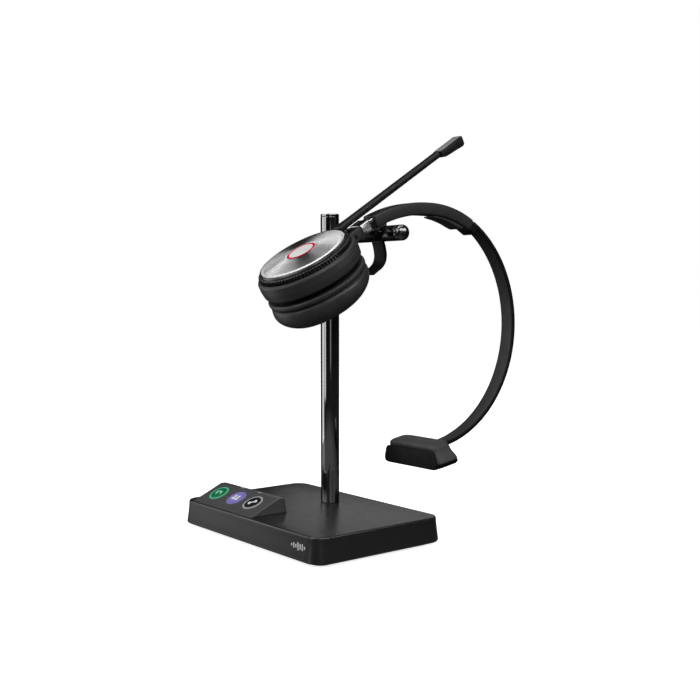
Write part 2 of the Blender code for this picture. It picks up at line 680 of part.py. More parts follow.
def ear_cup(cup):
    """Everything that tilts with the ear cup; Z is the disc's outward normal."""
    hub = 0.0249
    dome = [(radius, dome_height(radius)) for radius in (0.0095, 0.0140, 0.0190, 0.0230, 0.0266)]
    turned("disc_cover",
           [(0.0092, -0.0012), (0.0092, dome_height(0.0095) - 0.0002)] + dome
           + [(DISC_RADIUS, -0.0003), (DISC_RADIUS, -0.0012)],
           silver(), cup)
    turned("earcup_bezel",
           [(DISC_RADIUS + GAP, -0.0015), (DISC_RADIUS + GAP, 0.0001), (0.0278, 0.0001),
            (0.0286, -0.0008), (0.0286, -0.0018), (0.0220, -0.0018), (0.0220, -0.0015)],
           gloss_black(), cup)
    turned("status_light_ring",
           [(0.0080, -0.0014), (0.0089, -0.0014), (0.0089, dome_height(0.0089)),
            (0.0080, dome_height(0.0080))],
           red_light(), cup)
    housing = turned("earcup_housing",
                     [(0.0225, -0.0021), (hub, -0.0021), (hub, -0.0051), (0.0309, -0.0051),
                      (0.0318, -0.0060), (HOUSING_RADIUS, -0.0090), (HOUSING_RADIUS, -0.0115),
                      (0.0316, -0.0142), (0.0310, -0.0149), (0.0290, -0.0152),
                      (0.0288, -0.0178), (0.0218, -0.0178), (0.0218, -0.0150),
                      (0.0268, -0.0150), (0.0270, -0.0143), (0.0294, -0.0134),
                      (0.0300, -0.0072), (0.0225, -0.0072)],
                     soft_black(), cup)
    join(housing, block("earcup_lug", (-0.0025, 0.0306, -0.0130), (0.0025, 0.0386, -0.0082), None,
                        cup))
    tilt = tilt_frame(cup)
    cut(housing, rod("lug_hole", 0.0013, -0.0080, 0.0080, None, tilt, segments=12))
    cut(housing, block("volume_opening", (-0.0340, -0.0073, -0.0125), (-0.0285, 0.0073, -0.0081),
                       None, cup))
    for number in (1, 2):
        angle = pi / 2 * (2 * number - 1) + pi / 4
        place = (0.0243 * cos(angle), 0.0243 * sin(angle), 0.0)
        cut(housing, rod("housing_screw_hole_%d" % number, 0.0010, -0.0190, -0.0140, None, cup,
                         place, 10))
    back_of_cup(cup)
    inside_of_cup(cup)
    cushion(cup)
    call_button(cup)
    volume_rocker(cup)


def back_of_cup(cup):
    plate = turned("earcup_back_plate",
                   [(0.0205, -0.0212), (0.0205, -0.0181), (0.0310, -0.0181),
                    (0.0316, -0.0187), (0.0316, -0.0206), (0.0310, -0.0212)],
                   soft_black(), cup)
    for number in (1, 2):
        angle = pi / 2 * (2 * number - 1) + pi / 4
        place = (0.0243 * cos(angle), 0.0243 * sin(angle), 0.0)
        cut(plate, rod("plate_hole_%d" % number, 0.0010, -0.0300, -0.0154, None, cup, place, 10))
        cut(plate, rod("plate_recess_%d" % number, 0.0019, -0.0300, -0.0198, None, cup, place,
                       12))
        turned("earcup_screw_%d" % number,
               [(0.0, -0.0212), (0.0016, -0.0212), (0.0016, -0.0201), (0.0007, -0.0201),
                (0.0007, -0.0153), (0.0, -0.0150)],
               steel(), cup, place, 10)


def inside_of_cup(cup):
    turned("speaker_driver",
           [(0.0, -0.0142), (0.0090, -0.0142), (0.0110, -0.0154), (0.0185, -0.0172),
            (0.0200, -0.0182), (0.0200, -0.0210), (0.0180, -0.0214), (0.0, -0.0200)],
           steel(), cup, segments=28)
    turned("earcup_circuit_board", cylinder_profile(0.0214, -0.0090, -0.0076), board_green(),
           cup, segments=28)
    bevel(block("battery", (-0.0130, -0.0090, -0.0138), (0.0130, 0.0090, -0.0094),
                material("battery_grey", (0.25, 0.26, 0.28), 0.45), cup), 0.0008, 1)


def cushion(cup):
    turned("cushion_mount_ring",
           [(0.0200, -0.0229), (0.0200, -0.0218), (0.0285, -0.0218), (0.0285, -0.0229)],
           soft_black(), cup)
    turned("ear_cushion",
           [(0.0289, -0.0216), (0.0309, -0.0216), (0.0315, -0.0230), (0.0317, -0.0262),
            (0.0312, -0.0291), (0.0299, -0.0318), (0.0277, -0.0343), (0.0247, -0.0363),
            (0.0213, -CUSHION_DEPTH), (0.0184, -0.0363), (0.0166, -0.0335), (0.0160, -0.0300),
            (0.0160, -0.0232), (0.0289, -0.0232)],
           leatherette(), cup)


def call_button(cup):
    turned("call_button",
           [(0.0, -0.0030), (0.0030, -0.0030), (0.0030, -0.0012), (0.0077, -0.0012),
            (0.0077, dome_height(0.0077) - 0.0003), (0.0073, dome_height(0.0073)),
            (0.0, dome_height(0.0))],
           silver(), cup, segments=32)


def volume_rocker(cup):
    """Key in the housing's side, at -X, that tips up and down in its opening."""
    frame = empty("volume_frame", (-0.0306, 0.0, -0.0103), 0.0, cup)
    key = block("volume_rocker", (-0.0018, -0.0068, -0.0018), (0.0010, 0.0068, 0.0018),
                soft_black(), frame)
    bevel(key, 0.0005, 1)


def boom(cup):
    """Turning ring, arm and microphone head; stowed, the arm points up the slope."""
    turned("boom_ring",
           [(0.0252, -0.0048), (0.0252, -0.0021), (0.0288, -0.0021), (RING_RADIUS, -0.0026),
            (RING_RADIUS, -0.0044), (0.0290, -0.0048)],
           soft_black(), cup, segments=48)
    start = RING_RADIUS + GAP
    arm = prism("boom_arm",
                [(-0.0032, start), (0.0032, start), (0.0024, 0.0420), (0.0022, BOOM_LENGTH),
                 (-0.0022, BOOM_LENGTH), (-0.0024, 0.0420)],
                -0.0034, -0.0001, soft_black(), cup)
    bevel(arm, 0.0007, 2)
    side = [(BOOM_LENGTH + GAP, -0.0002), (MIC_END - 0.0010, 0.0), (MIC_END, -0.0009),
            (MIC_END - 0.0003, -0.0060), (MIC_END - 0.0020, -0.0068),
            (0.1310, -0.0055), (0.1284, -0.0046), (BOOM_LENGTH + GAP, -0.0037)]
    mic = prism("mic_housing", side, -0.0038, 0.0038, soft_black(), cup, axis="X")
    bevel(mic, 0.0009, 2)
    hole = (0.0, 0.1430, 0.0)
    cut(mic, rod("mic_hole", 0.0023, -0.0120, -0.0038, None, cup, hole, 16))
    rod("mic_capsule", 0.0020, -0.0056, -0.0041, steel(), cup, hole, 16, 0.0002)


# ---------------------------------------------------------------- assembly
def clear_scene():
    for obj in list(bpy.data.objects):
        bpy.data.objects.remove(obj, do_unlink=True)


def main():
    clear_scene()
    base_housing()
    base_floor()
    base_electronics()
    control_panel()
    post()
    peg()
    charging_cradle()
    headband()
    contact_block()
    tbar()
    cup = empty("earcup_frame", (HEADSET_X, CUP_Y, CUP_Z), CUP_TILT)
    slider_and_knuckle(cup)
    ear_cup(cup)
    boom(cup)


main()
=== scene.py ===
"""Looks of the mono office headset on its charging stand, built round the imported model.

Metres, +Z up, in the CAD's own frame: X runs along the stand's long front edge, -Y is the front
and the head band lies in a plane of constant X. Ear cup pieces are made in the cup's frame, whose
Z is the outer disc's normal and whose Y points up the slope along the stowed boom.
"""
import json
from math import atan2, cos, hypot, pi, radians, sin, sqrt

import bmesh
import bpy
from mathutils import Matrix, Vector, noise


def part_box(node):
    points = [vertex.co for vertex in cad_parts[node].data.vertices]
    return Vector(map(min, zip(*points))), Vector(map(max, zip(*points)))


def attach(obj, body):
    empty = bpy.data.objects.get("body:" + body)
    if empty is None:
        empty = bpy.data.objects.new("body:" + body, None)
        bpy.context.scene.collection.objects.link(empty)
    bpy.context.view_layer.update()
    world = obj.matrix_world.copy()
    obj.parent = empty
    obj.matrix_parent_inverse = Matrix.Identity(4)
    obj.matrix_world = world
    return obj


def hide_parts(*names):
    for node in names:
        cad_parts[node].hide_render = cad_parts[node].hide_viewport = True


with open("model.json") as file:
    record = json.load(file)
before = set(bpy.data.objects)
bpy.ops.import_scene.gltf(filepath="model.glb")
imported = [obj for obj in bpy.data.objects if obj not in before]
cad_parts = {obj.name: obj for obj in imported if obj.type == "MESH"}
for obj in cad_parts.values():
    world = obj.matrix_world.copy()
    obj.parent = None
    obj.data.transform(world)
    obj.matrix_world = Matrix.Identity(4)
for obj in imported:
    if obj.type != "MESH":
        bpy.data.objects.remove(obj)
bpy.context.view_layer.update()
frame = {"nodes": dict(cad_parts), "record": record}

# ---------------- camera and floor
CAMERA_PLACE = (0.5384, -0.3978, 0.1586)
CAMERA_TURN = radians(51.186)
CAMERA_DOWN = radians(3.265)
CAMERA_LENS = 53.13
FLOOR_HALF = 6.0

# ---------------- driving dimensions, in metres
ROUND = 128                       # segments of a large turned piece
FINE = 48                         # segments of a small one

BASE_CORNER = 0.0095
BASE_FLARE = 0.0015
BASE_FLARE_HEIGHT = 0.0030
BASE_EDGE = 0.0010                # radius of the top plate's edge
BASE_WALL = 0.0022
GRILLE_X = -0.0487
GRILLE_Y = 0.0174
GRILLE_PITCH = 0.0038
GRILLE_HOLE = 0.00055
MARK_X = 0.0580                   # middle of the generic mark on the front wall
MARK_PITCH = 0.0021
KEY_CAP = 0.0056                  # radii of a key, its light ring and its opening
KEY_RING_INNER = 0.0059
KEY_RING_OUTER = 0.0070
KEY_WELL = 0.0071
PEG_WAIST = 0.0030                # radius and half length of the peg's recess
PEG_WAIST_HALF = 0.0051
PEG_DOME = 0.0036
CLIP_INNER = 0.0033
CLIP_OUTER = 0.0049

FRONT_ARC = (0.0590, 0.1093, 0.1020)     # head band: centre Y, centre Z, mid radius
BACK_ARC = (0.0615, 0.1353, 0.0760)
BAND_WIDTH = 0.0115
SHELL_HALF = 0.0040
BAND_EDGE = 0.0012                # radius of the shell's long edges
SHELL_START = 26.0                # degrees round the band, positive to the ear cup
SHELL_END = -33.0
LAP_END = -28.5
STRAP_END = -175.0
STRAP_THICKNESS = 0.0025
STRAP_STEP = 0.0006               # how far the strap lies below the shell's outer face
PAD_START = -2.0
PAD_END = -24.0
GAP = 0.0003                      # joint between two pieces

TBAR_Y = 0.0566
TBAR_Z = 0.05685
TBAR_TILT = radians(9.7)

DISC_RADIUS = 0.0271
DISC_DOME = 0.0020
RIB_COUNT = 90
RIB_DEPTH = 0.00120
CUSHION_FULL = radians(-105.0)    # where the soft ear cushion is fullest
CUSHION_LEAN = 0.0004             # how far it stands out there
CUSHION_DEPTH = 0.026             # and the share by which it is deeper there
CUSHION_SEAM = -0.0234            # height of its gathered seam
CUSHION_MIDDLE = 0.0240           # radius of its crown, and the furthest it may reach
CUSHION_REACH = 0.0324
FILL_SCALE = 2.3                  # noise of the uneven fill and of the gathers, and their depths
FILL_DEPTH = 0.00014
GATHER_SCALE = 24.0
GATHER_DEPTH = 0.00016
TURNED_CUP = 160                  # segments of the ear cup's shell and back plate

BOOM_START = 0.0297               # distances from the disc's centre
BOOM_END = 0.1275
BOOM_STEPS = 560
BOOM_FAIRING = 0.0120
RIDGE_PITCH = 0.0014
RIDGE_DEPTH = 0.00006
RIDGES_FROM = 0.0460
RIDGES_TO = 0.1230
MIC_Y = 0.1430

NOISE_LOW = 0.3                   # a noise texture's values lie mostly between these
NOISE_HIGH = 0.7
SHARP_EDGE = 35.0                 # degrees


# ---------------- places taken from the frame
def joint(name):
    """A joint's entry in the record."""
    return next(j for j in frame["record"]["behaviour"]["joints"] if j["name"] == name)


def corners(node):
    """Lowest and highest corner of a CAD node's box."""
    return [Vector(corner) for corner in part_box(node)]


def middle(node):
    """Middle of a CAD node's box."""
    low, high = corners(node)
    return (low + high) / 2


def frame_at(place, angle, axis):
    """Frame at a place, turned about one axis."""
    return Matrix.Translation(place) @ Matrix.Rotation(angle, 4, axis)


def tilted_frame(place, normal):
    """Frame at a place whose Z is the given normal in the YZ plane and whose X is the world's."""
    return frame_at(place, atan2(-normal.y, normal.z), "X")


CUP_NORMAL = -Vector(joint("boom_turn")["axis"]).normalized()
CUP_ORIGIN = Vector(joint("boom_turn")["pos_m"]) + 0.0040 * CUP_NORMAL
CUP = tilted_frame(CUP_ORIGIN, CUP_NORMAL)
HEADSET_X = CUP_ORIGIN.x
BASE_LOW, BASE_HIGH = corners("base_housing")
POST = middle("post_tube")
PEG = middle("hanger_peg")


# ---------------- materials
def nodes_of(name):
    """New material, its node tree and its main shader."""
    mat = bpy.data.materials.new(name)
    mat.use_nodes = True
    return mat, mat.node_tree, mat.node_tree.nodes["Principled BSDF"]


def node(tree, kind, **settings):
    """New node; each setting is a socket's constant or else a property."""
    made = tree.nodes.new(kind)
    for key, value in settings.items():
        if key in made.inputs:
            made.inputs[key].default_value = value
        else:
            setattr(made, key, value)
    return made


def noise_on(tree, scale, detail=3.0, stretch=None):
    """Noise in the object's own metres, optionally stretched along its axes."""
    place = node(tree, "ShaderNodeTexCoord")
    source = place.outputs["Object"]
    if stretch:
        mapping = node(tree, "ShaderNodeMapping")
        mapping.inputs["Scale"].default_value = stretch
        tree.links.new(source, mapping.inputs["Vector"])
        source = mapping.outputs["Vector"]
    made = node(tree, "ShaderNodeTexNoise", Scale=scale, Detail=detail)
    tree.links.new(source, made.inputs["Vector"])
    return made.outputs["Fac"]


def ramp(tree, source, from_low, from_high, to_low, to_high):
    """Rescales a value, held within its limits."""
    limits = {"From Min": from_low, "From Max": from_high, "To Min": to_low, "To Max": to_high}
    made = node(tree, "ShaderNodeMapRange", **limits)
    tree.links.new(source, made.inputs["Value"])
    return made.outputs["Result"]


def mapped(tree, source, low, high, into):
    """Sends a noise into a socket, rescaled to low-high."""
    tree.links.new(ramp(tree, source, NOISE_LOW, NOISE_HIGH, low, high), into)


def tinted(tree, source, dark, light, into):
    """Sends a noise into a colour socket, between a dark and a light colour."""
    tint = node(tree, "ShaderNodeValToRGB")
    for stop, place, colour in zip(tint.color_ramp.elements, (NOISE_LOW, NOISE_HIGH), (dark, light)):
        stop.position = place
        stop.color = (*colour, 1.0)
    tree.links.new(source, tint.inputs["Fac"])
    tree.links.new(tint.outputs["Color"], into)


def times(colour, factor):
    """A colour made lighter or darker."""
    return tuple(factor * c for c in colour)


def bumped(tree, shader, source, depth, strength=1.0, before=None):
    """Adds a bump of the given depth in metres, on top of an earlier one if there is one."""
    bump = node(tree, "ShaderNodeBump", Strength=strength, Distance=depth)
    tree.links.new(source, bump.inputs["Height"])
    if before:
        tree.links.new(before.outputs["Normal"], bump.inputs["Normal"])
    tree.links.new(bump.outputs["Normal"], shader.inputs["Normal"])
    return bump


def moulded(name, colour, roughness, grain=0.000012, grain_scale=2600.0, specular=0.5, spread=0.06):
    """Moulded plastic: fine spark-eroded grain, cloudy roughness and a trace of colour drift."""
    mat, tree, shader = nodes_of(name)
    shader.inputs["Specular IOR Level"].default_value = specular
    tinted(tree, noise_on(tree, 45.0), times(colour, 0.95), times(colour, 1.05),
           shader.inputs["Base Color"])
    mapped(tree, noise_on(tree, 160.0, 5.0), roughness - spread, roughness + spread,
           shader.inputs["Roughness"])
    bumped(tree, shader, noise_on(tree, grain_scale, 2.0), grain)
    return mat


def gloss(name, colour, roughness, metallic=0.0):
    """Polished or lacquered surface with a faint unevenness and fine smears."""
    mat, tree, shader = nodes_of(name)
    shader.inputs["Metallic"].default_value = metallic
    smear = noise_on(tree, 70.0, 6.0, (1.0, 1.0, 0.25))
    tinted(tree, smear, times(colour, 0.9), times(colour, 1.1), shader.inputs["Base Color"])
    mapped(tree, smear, roughness * 0.6, roughness * 1.6, shader.inputs["Roughness"])
    bumped(tree, shader, noise_on(tree, 420.0, 1.0), 0.0000012)
    return mat


def leather(name, colour, roughness):
    """Leatherette: pebbled cells with creases between them over soft unevenness."""
    mat, tree, shader = nodes_of(name)
    place = node(tree, "ShaderNodeTexCoord")
    cells = node(tree, "ShaderNodeTexVoronoi", Scale=900.0, feature="DISTANCE_TO_EDGE")
    tree.links.new(place.outputs["Object"], cells.inputs["Vector"])
    tinted(tree, noise_on(tree, 120.0), times(colour, 0.8), times(colour, 1.2),
           shader.inputs["Base Color"])
    mapped(tree, noise_on(tree, 300.0), roughness - 0.08, roughness + 0.08,
           shader.inputs["Roughness"])
    soft = bumped(tree, shader, noise_on(tree, 140.0, 2.0), 0.00010, 0.5)
    bumped(tree, shader, cells.outputs["Distance"], 0.00006, 0.7, soft)
    return mat


def spun(name, colour, roughness):
    """Metal turned on a lathe: fine circular grooves about the object's Z axis."""
    mat, tree, shader = nodes_of(name)
    shader.inputs["Metallic"].default_value = 1.0
    shader.inputs["Anisotropic"].default_value = 0.90
    tangent = node(tree, "ShaderNodeTangent", direction_type="RADIAL", axis="Z")
    tree.links.new(tangent.outputs["Tangent"], shader.inputs["Tangent"])
    place = node(tree, "ShaderNodeTexCoord")
    flat = node(tree, "ShaderNodeVectorMath", operation="MULTIPLY")
    tree.links.new(place.outputs["Object"], flat.inputs[0])
    flat.inputs[1].default_value = (1.0, 1.0, 0.0)
    length = node(tree, "ShaderNodeVectorMath", operation="LENGTH")
    tree.links.new(flat.outputs["Vector"], length.inputs[0])
    groove = node(tree, "ShaderNodeTexNoise", Scale=4200.0, Detail=4.0, noise_dimensions="1D")
    tree.links.new(length.outputs["Value"], groove.inputs["W"])
    tinted(tree, groove.outputs["Fac"], times(colour, 0.86), colour, shader.inputs["Base Color"])
    mapped(tree, groove.outputs["Fac"], roughness * 0.85, roughness * 1.2,
           shader.inputs["Roughness"])
    bumped(tree, shader, groove.outputs["Fac"], 0.0000015)
    return mat


def brushed(name, colour, roughness):
    """Bare metal with short brush marks and a little tarnish."""
    mat, tree, shader = nodes_of(name)
    shader.inputs["Metallic"].default_value = 1.0
    marks = noise_on(tree, 900.0, 4.0, (0.06, 1.0, 1.0))
    tinted(tree, marks, times(colour, 0.8), colour, shader.inputs["Base Color"])
    mapped(tree, marks, roughness * 0.8, roughness * 1.25, shader.inputs["Roughness"])
    bumped(tree, shader, marks, 0.000004)
    return mat


def lit(name, colour, strength, roughness=0.35):
    """Translucent moulding with a lamp behind it."""
    mat, tree, shader = nodes_of(name)
    cloud = noise_on(tree, 600.0)
    tinted(tree, cloud, times(colour, 0.35), times(colour, 0.4), shader.inputs["Base Color"])
    tinted(tree, cloud, times(colour, 0.85), colour, shader.inputs["Emission Color"])
    shader.inputs["Specular IOR Level"].default_value = 0.1
    shader.inputs["Emission Strength"].default_value = strength
    mapped(tree, cloud, roughness - 0.05, roughness + 0.05, shader.inputs["Roughness"])
    return mat


SATIN = moulded("satin_plastic", (0.013, 0.013, 0.0133), 0.30, specular=0.9, spread=0.02)
# The panel's plastic is the base's satin plastic made much lighter: painted light for the light that
# falls on its slope.
PANEL_SATIN_PAINTED_LIGHT = moulded("panel_plastic_painted_light", (0.068, 0.068, 0.069), 0.36, specular=1.0, spread=0.02)
SOFT = moulded("soft_touch_plastic", (0.040, 0.040, 0.0405), 0.46)
BAND_SOFT = moulded("band_plastic", (0.030, 0.030, 0.0305), 0.48)
GROOVE = moulded("groove_plastic", (0.002, 0.002, 0.002), 0.60, specular=0.1)
RING = moulded("ring_plastic", (0.014, 0.014, 0.0145), 0.30, specular=0.9)
GLOSS = gloss("gloss_plastic", (0.0035, 0.0035, 0.004), 0.09)
LACQUER = gloss("lacquered_metal", (0.42, 0.42, 0.425), 0.08, 1.0)
CHROME = gloss("smoked_chrome", (0.25, 0.25, 0.255), 0.26, 1.0)
LEATHER = leather("leatherette", (0.043, 0.043, 0.0435), 0.44)
PAD = leather("pad_leatherette", (0.054, 0.054, 0.055), 0.54)
FACE = moulded("face_plastic", (0.002, 0.002, 0.0021), 0.50, specular=0.2)
STRAP = moulded("strap_plastic", (0.007, 0.007, 0.0073), 0.46, specular=0.25)
# A lighter copy of the strap's plastic, laid over the strap's inner face: painted light that makes
# that face brighter than the strap's dark sides.
STRAP_LINER_PAINTED_LIGHT = moulded("strap_liner_painted_light", (0.028, 0.028, 0.0285), 0.50)
ARM = moulded("boom_plastic", (0.008, 0.008, 0.0085), 0.36, specular=0.4)
DARK = moulded("dark_plastic", (0.003, 0.003, 0.0032), 0.40, specular=0.10)
RUBBER = moulded("rubber", (0.015, 0.015, 0.015), 0.75, 0.00004, 1500.0)
DISC = spun("spun_metal", (0.82, 0.82, 0.83), 0.40)
STEEL = brushed("steel", (0.62, 0.62, 0.63), 0.28)
SILVER = brushed("slider_silver", (0.80, 0.80, 0.81), 0.24)
# Light grey plate for the top of the microphone head: a painted highlight along its top.
MIC_TOP_HIGHLIGHT_PAINT = moulded("microphone_painted_highlight", (0.30, 0.30, 0.305), 0.32, specular=0.8)
GOLD = brushed("contact_gold", (0.82, 0.58, 0.24), 0.25)
BOARD = moulded("circuit_board", (0.012, 0.090, 0.040), 0.45)
WRAP = moulded("battery_wrap", (0.20, 0.22, 0.26), 0.40)
RED = lit("red_light", (0.62, 0.004, 0.03), 0.7)
GREEN = lit("green_light", (0.16, 0.72, 0.38), 0.30)
GREEN_DARK = moulded("green_key", (0.006, 0.16, 0.070), 0.30)
VIOLET = lit("violet_light", (0.34, 0.31, 0.78), 0.25)
WHITE = lit("white_light", (0.82, 0.83, 0.85), 0.12)
PRINT = moulded("white_print", (0.80, 0.80, 0.80), 0.45)
MINT = lit("mint_print", (0.32, 0.85, 0.52), 0.35)
ICON = lit("icon_print", (0.85, 0.85, 0.87), 0.45)
REDDISH = moulded("red_print", (0.55, 0.20, 0.18), 0.45)
KEY = moulded("key_plastic", (0.010, 0.011, 0.011), 0.28)
CLOTH = moulded("speaker_cloth", (0.012, 0.012, 0.012), 0.85, 0.00008, 2200.0)


# ---------------- mesh helpers
def added(name, data):
    """Puts new data into the scene as an object."""
    obj = bpy.data.objects.new(name, data)
    bpy.context.scene.collection.objects.link(obj)
    return obj


def mesh_of(name, bm):
    """Turns a bmesh into a mesh and frees it."""
    mesh = bpy.data.meshes.new(name)
    bm.to_mesh(mesh)
    bm.free()
    return mesh


def smoothed(mesh, angle=SHARP_EDGE):
    """Smooth shading that keeps the edges above an angle sharp."""
    mesh.shade_smooth()
    mesh.set_sharp_from_angle(angle=radians(angle))


def piece(name, bm, mat, body, replaced=(), place=None, smooth=SHARP_EDGE):
    """Turns a bmesh into a shown piece that rides on a body and stands for some CAD nodes."""
    bmesh.ops.recalc_face_normals(bm, faces=bm.faces)
    mesh = mesh_of(name, bm)
    smoothed(mesh, smooth)
    mesh.materials.append(mat)
    obj = added(name, mesh)
    obj.matrix_world = place or Matrix.Identity(4)
    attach(obj, body)
    if replaced:
        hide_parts(*replaced)
    return obj


def join_rows(bm, here, there):
    """Fills the band of faces between two equal closed rows of points."""
    for i in range(len(here)):
        j = (i + 1) % len(here)
        bm.faces.new((here[i], here[j], there[j], there[i]))


def skin(loops, ring=False):
    """Joins equal loops of points into a capped tube; ring closes the tube on itself."""
    bm = bmesh.new()
    rows = [[bm.verts.new(point) for point in loop] for loop in loops]
    for here, there in zip(rows, rows[1:]):
        join_rows(bm, here, there)
    if ring:
        join_rows(bm, rows[-1], rows[0])
    else:
        bm.faces.new(rows[0])
        bm.faces.new(rows[-1][::-1])
    return bm


def filleted(points, steps=5):
    """Closed outline from (a, b, radius) corners, each rounded by its radius."""
    outline = []
    count = len(points)
    for i, (a, b, radius) in enumerate(points):
        here = Vector((a, b))
        back = Vector(points[i - 1][:2]) - here
        ahead = Vector(points[(i + 1) % count][:2]) - here
        if radius == 0.0:
            outline.append((a, b))
            continue
        opening = back.angle(ahead)
        reach = min(radius / max(sin(opening / 2) / cos(opening / 2), 1e-6),
                    0.49 * back.length, 0.49 * ahead.length)
        start = here + back.normalized() * reach
        end = here + ahead.normalized() * reach
        for step in range(steps + 1):
            t = step / steps
            point = start * (1 - t) ** 2 + here * 2 * t * (1 - t) + end * t ** 2
            outline.append((point.x, point.y))
    return outline


def turned(points, segments=ROUND, steps=4):
    """Revolves a closed (radius, height, fillet) outline about Z."""
    outline = filleted(points, steps)
    bm = bmesh.new()
    rings = []
    for radius, height in outline:
        if radius < 1e-7:
            rings.append([bm.verts.new((0.0, 0.0, height))])
            continue
        rings.append([bm.verts.new((radius * cos(2 * pi * s / segments),
                                    radius * sin(2 * pi * s / segments), height))
                      for s in range(segments)])
    for here, there in zip(rings, rings[1:] + rings[:1]):
        for s in range(segments):
            t = (s + 1) % segments
            corners = [here[s % len(here)], here[t % len(here)],
                       there[t % len(there)], there[s % len(there)]]
            face = list(dict.fromkeys(corners))
            if len(face) > 2:
                bm.faces.new(face)
    return bm


def rod(radius, low, high, low_fillet=0.0, high_fillet=0.0, segments=ROUND):
    """Cylinder about Z, with rounded ends if fillets are given."""
    return turned([(0.0, low, 0), (radius, low, low_fillet), (radius, high, high_fillet),
                   (0.0, high, 0)], segments)


def slab(outline, low, high, edge, axis="Z", steps=4):
    """Extrudes a closed outline and rounds the edges of both ends."""
    def put(a, b, depth):
        return (depth, a, b) if axis == "X" else (a, depth, b) if axis == "Y" else (a, b, depth)
    levels = [(low + edge * (1 - cos(pi / 2 * s / steps)), edge * (1 - sin(pi / 2 * s / steps)))
              for s in range(steps + 1)]
    levels += [(high + low - depth, inset) for depth, inset in reversed(levels)]
    return skin([[put(a, b, depth) for a, b in inset_outline(outline, inset)]
                 for depth, inset in levels])


def inset_outline(outline, inset):
    """Moves every corner of a convex outline inwards by about the inset."""
    if inset < 1e-7:
        return outline
    area = sum(a0 * b1 - a1 * b0 for (a0, b0), (a1, b1) in zip(outline, outline[1:] + outline[:1]))
    sign = 1.0 if area > 0 else -1.0
    moved = []
    count = len(outline)
    for i, (a, b) in enumerate(outline):
        a0, b0 = outline[i - 1]
        a1, b1 = outline[(i + 1) % count]
        length = hypot(a1 - a0, b1 - b0)
        moved.append((a - sign * (b1 - b0) / length * inset, b + sign * (a1 - a0) / length * inset))
    return moved


def rounded_rectangle(length, depth, corner, centre=(0.0, 0.0), steps=12):
    """Outline of a rectangle with round corners, anticlockwise from its right side."""
    points = []
    for quarter, (sx, sy) in enumerate(((1, 1), (-1, 1), (-1, -1), (1, -1))):
        cx = centre[0] + sx * (length / 2 - corner)
        cy = centre[1] + sy * (depth / 2 - corner)
        for step in range(steps + 1):
            angle = pi / 2 * (quarter + step / steps)
            points.append((cx + corner * cos(angle), cy + corner * sin(angle)))
    return points


def cut(obj, bm, place=None):
    """Takes a cutter's volume out of a piece for good; the cutter is thrown away."""
    bmesh.ops.recalc_face_normals(bm, faces=bm.faces)
    cutter = added("cutter", mesh_of("cutter", bm))
    cutter.matrix_world = place or Matrix.Identity(4)
    mod = obj.modifiers.new("cut", "BOOLEAN")
    mod.operation = "DIFFERENCE"
    mod.object = cutter
    graph = bpy.context.evaluated_depsgraph_get()
    graph.update()
    result = bpy.data.meshes.new_from_object(obj.evaluated_get(graph))
    obj.modifiers.clear()
    obj.data = result
    bpy.data.objects.remove(cutter)
    smoothed(result)


def drilled(obj, spots, radius, low, high, segments, place=None):
    """Takes a round hole out of a piece at each (x, y) spot, all with one cut."""
    holes = bmesh.new()
    for x, y in spots:
        hole = rod(radius, low, high, segments=segments)
        bmesh.ops.translate(hole, verts=hole.verts, vec=(x, y, 0.0))
        holes.from_mesh(mesh_of("hole", hole))
    cut(obj, holes, place)


def finish_of(nodes, mat):
    """Gives carried-over CAD nodes a procedural finish."""
    for name in nodes:
        obj = frame["nodes"][name]
        obj.data.materials.clear()
        obj.data.materials.append(mat)


# ---------------- stand
def base_loops(length, depth):
    """Rows of points up the outer wall and over its rolled edge, then down the inner wall."""
    top, skirt = BASE_HIGH.z, BASE_LOW.z
    flare_span = top - BASE_FLARE_HEIGHT
    levels = [(skirt, 0.0), (skirt + 0.0004, 0.0009), (BASE_FLARE_HEIGHT, BASE_FLARE),
              (BASE_FLARE_HEIGHT + 0.0006, BASE_FLARE - 0.0001)]
    for step in range(1, 9):
        t = step / 8
        levels.append((BASE_FLARE_HEIGHT + flare_span * t - BASE_EDGE * t,
                       BASE_FLARE * (1 - t) ** 1.3))
    for step in range(1, 7):
        angle = pi / 2 * step / 6
        levels.append((top - BASE_EDGE * (1 - sin(angle)), -BASE_EDGE * (1 - cos(angle))))
    loops = []
    for height, grow in levels:
        outline = rounded_rectangle(length + 2 * grow, depth + 2 * grow, BASE_CORNER + grow)
        loops.append([(x, y, height) for x, y in outline])
    inner = rounded_rectangle(length - 2 * BASE_WALL, depth - 2 * BASE_WALL,
                              BASE_CORNER - BASE_WALL)
    loops.append([(x, y, top - BASE_WALL) for x, y in inner])
    loops.append([(x, y, skirt) for x, y in inner])
    return loops


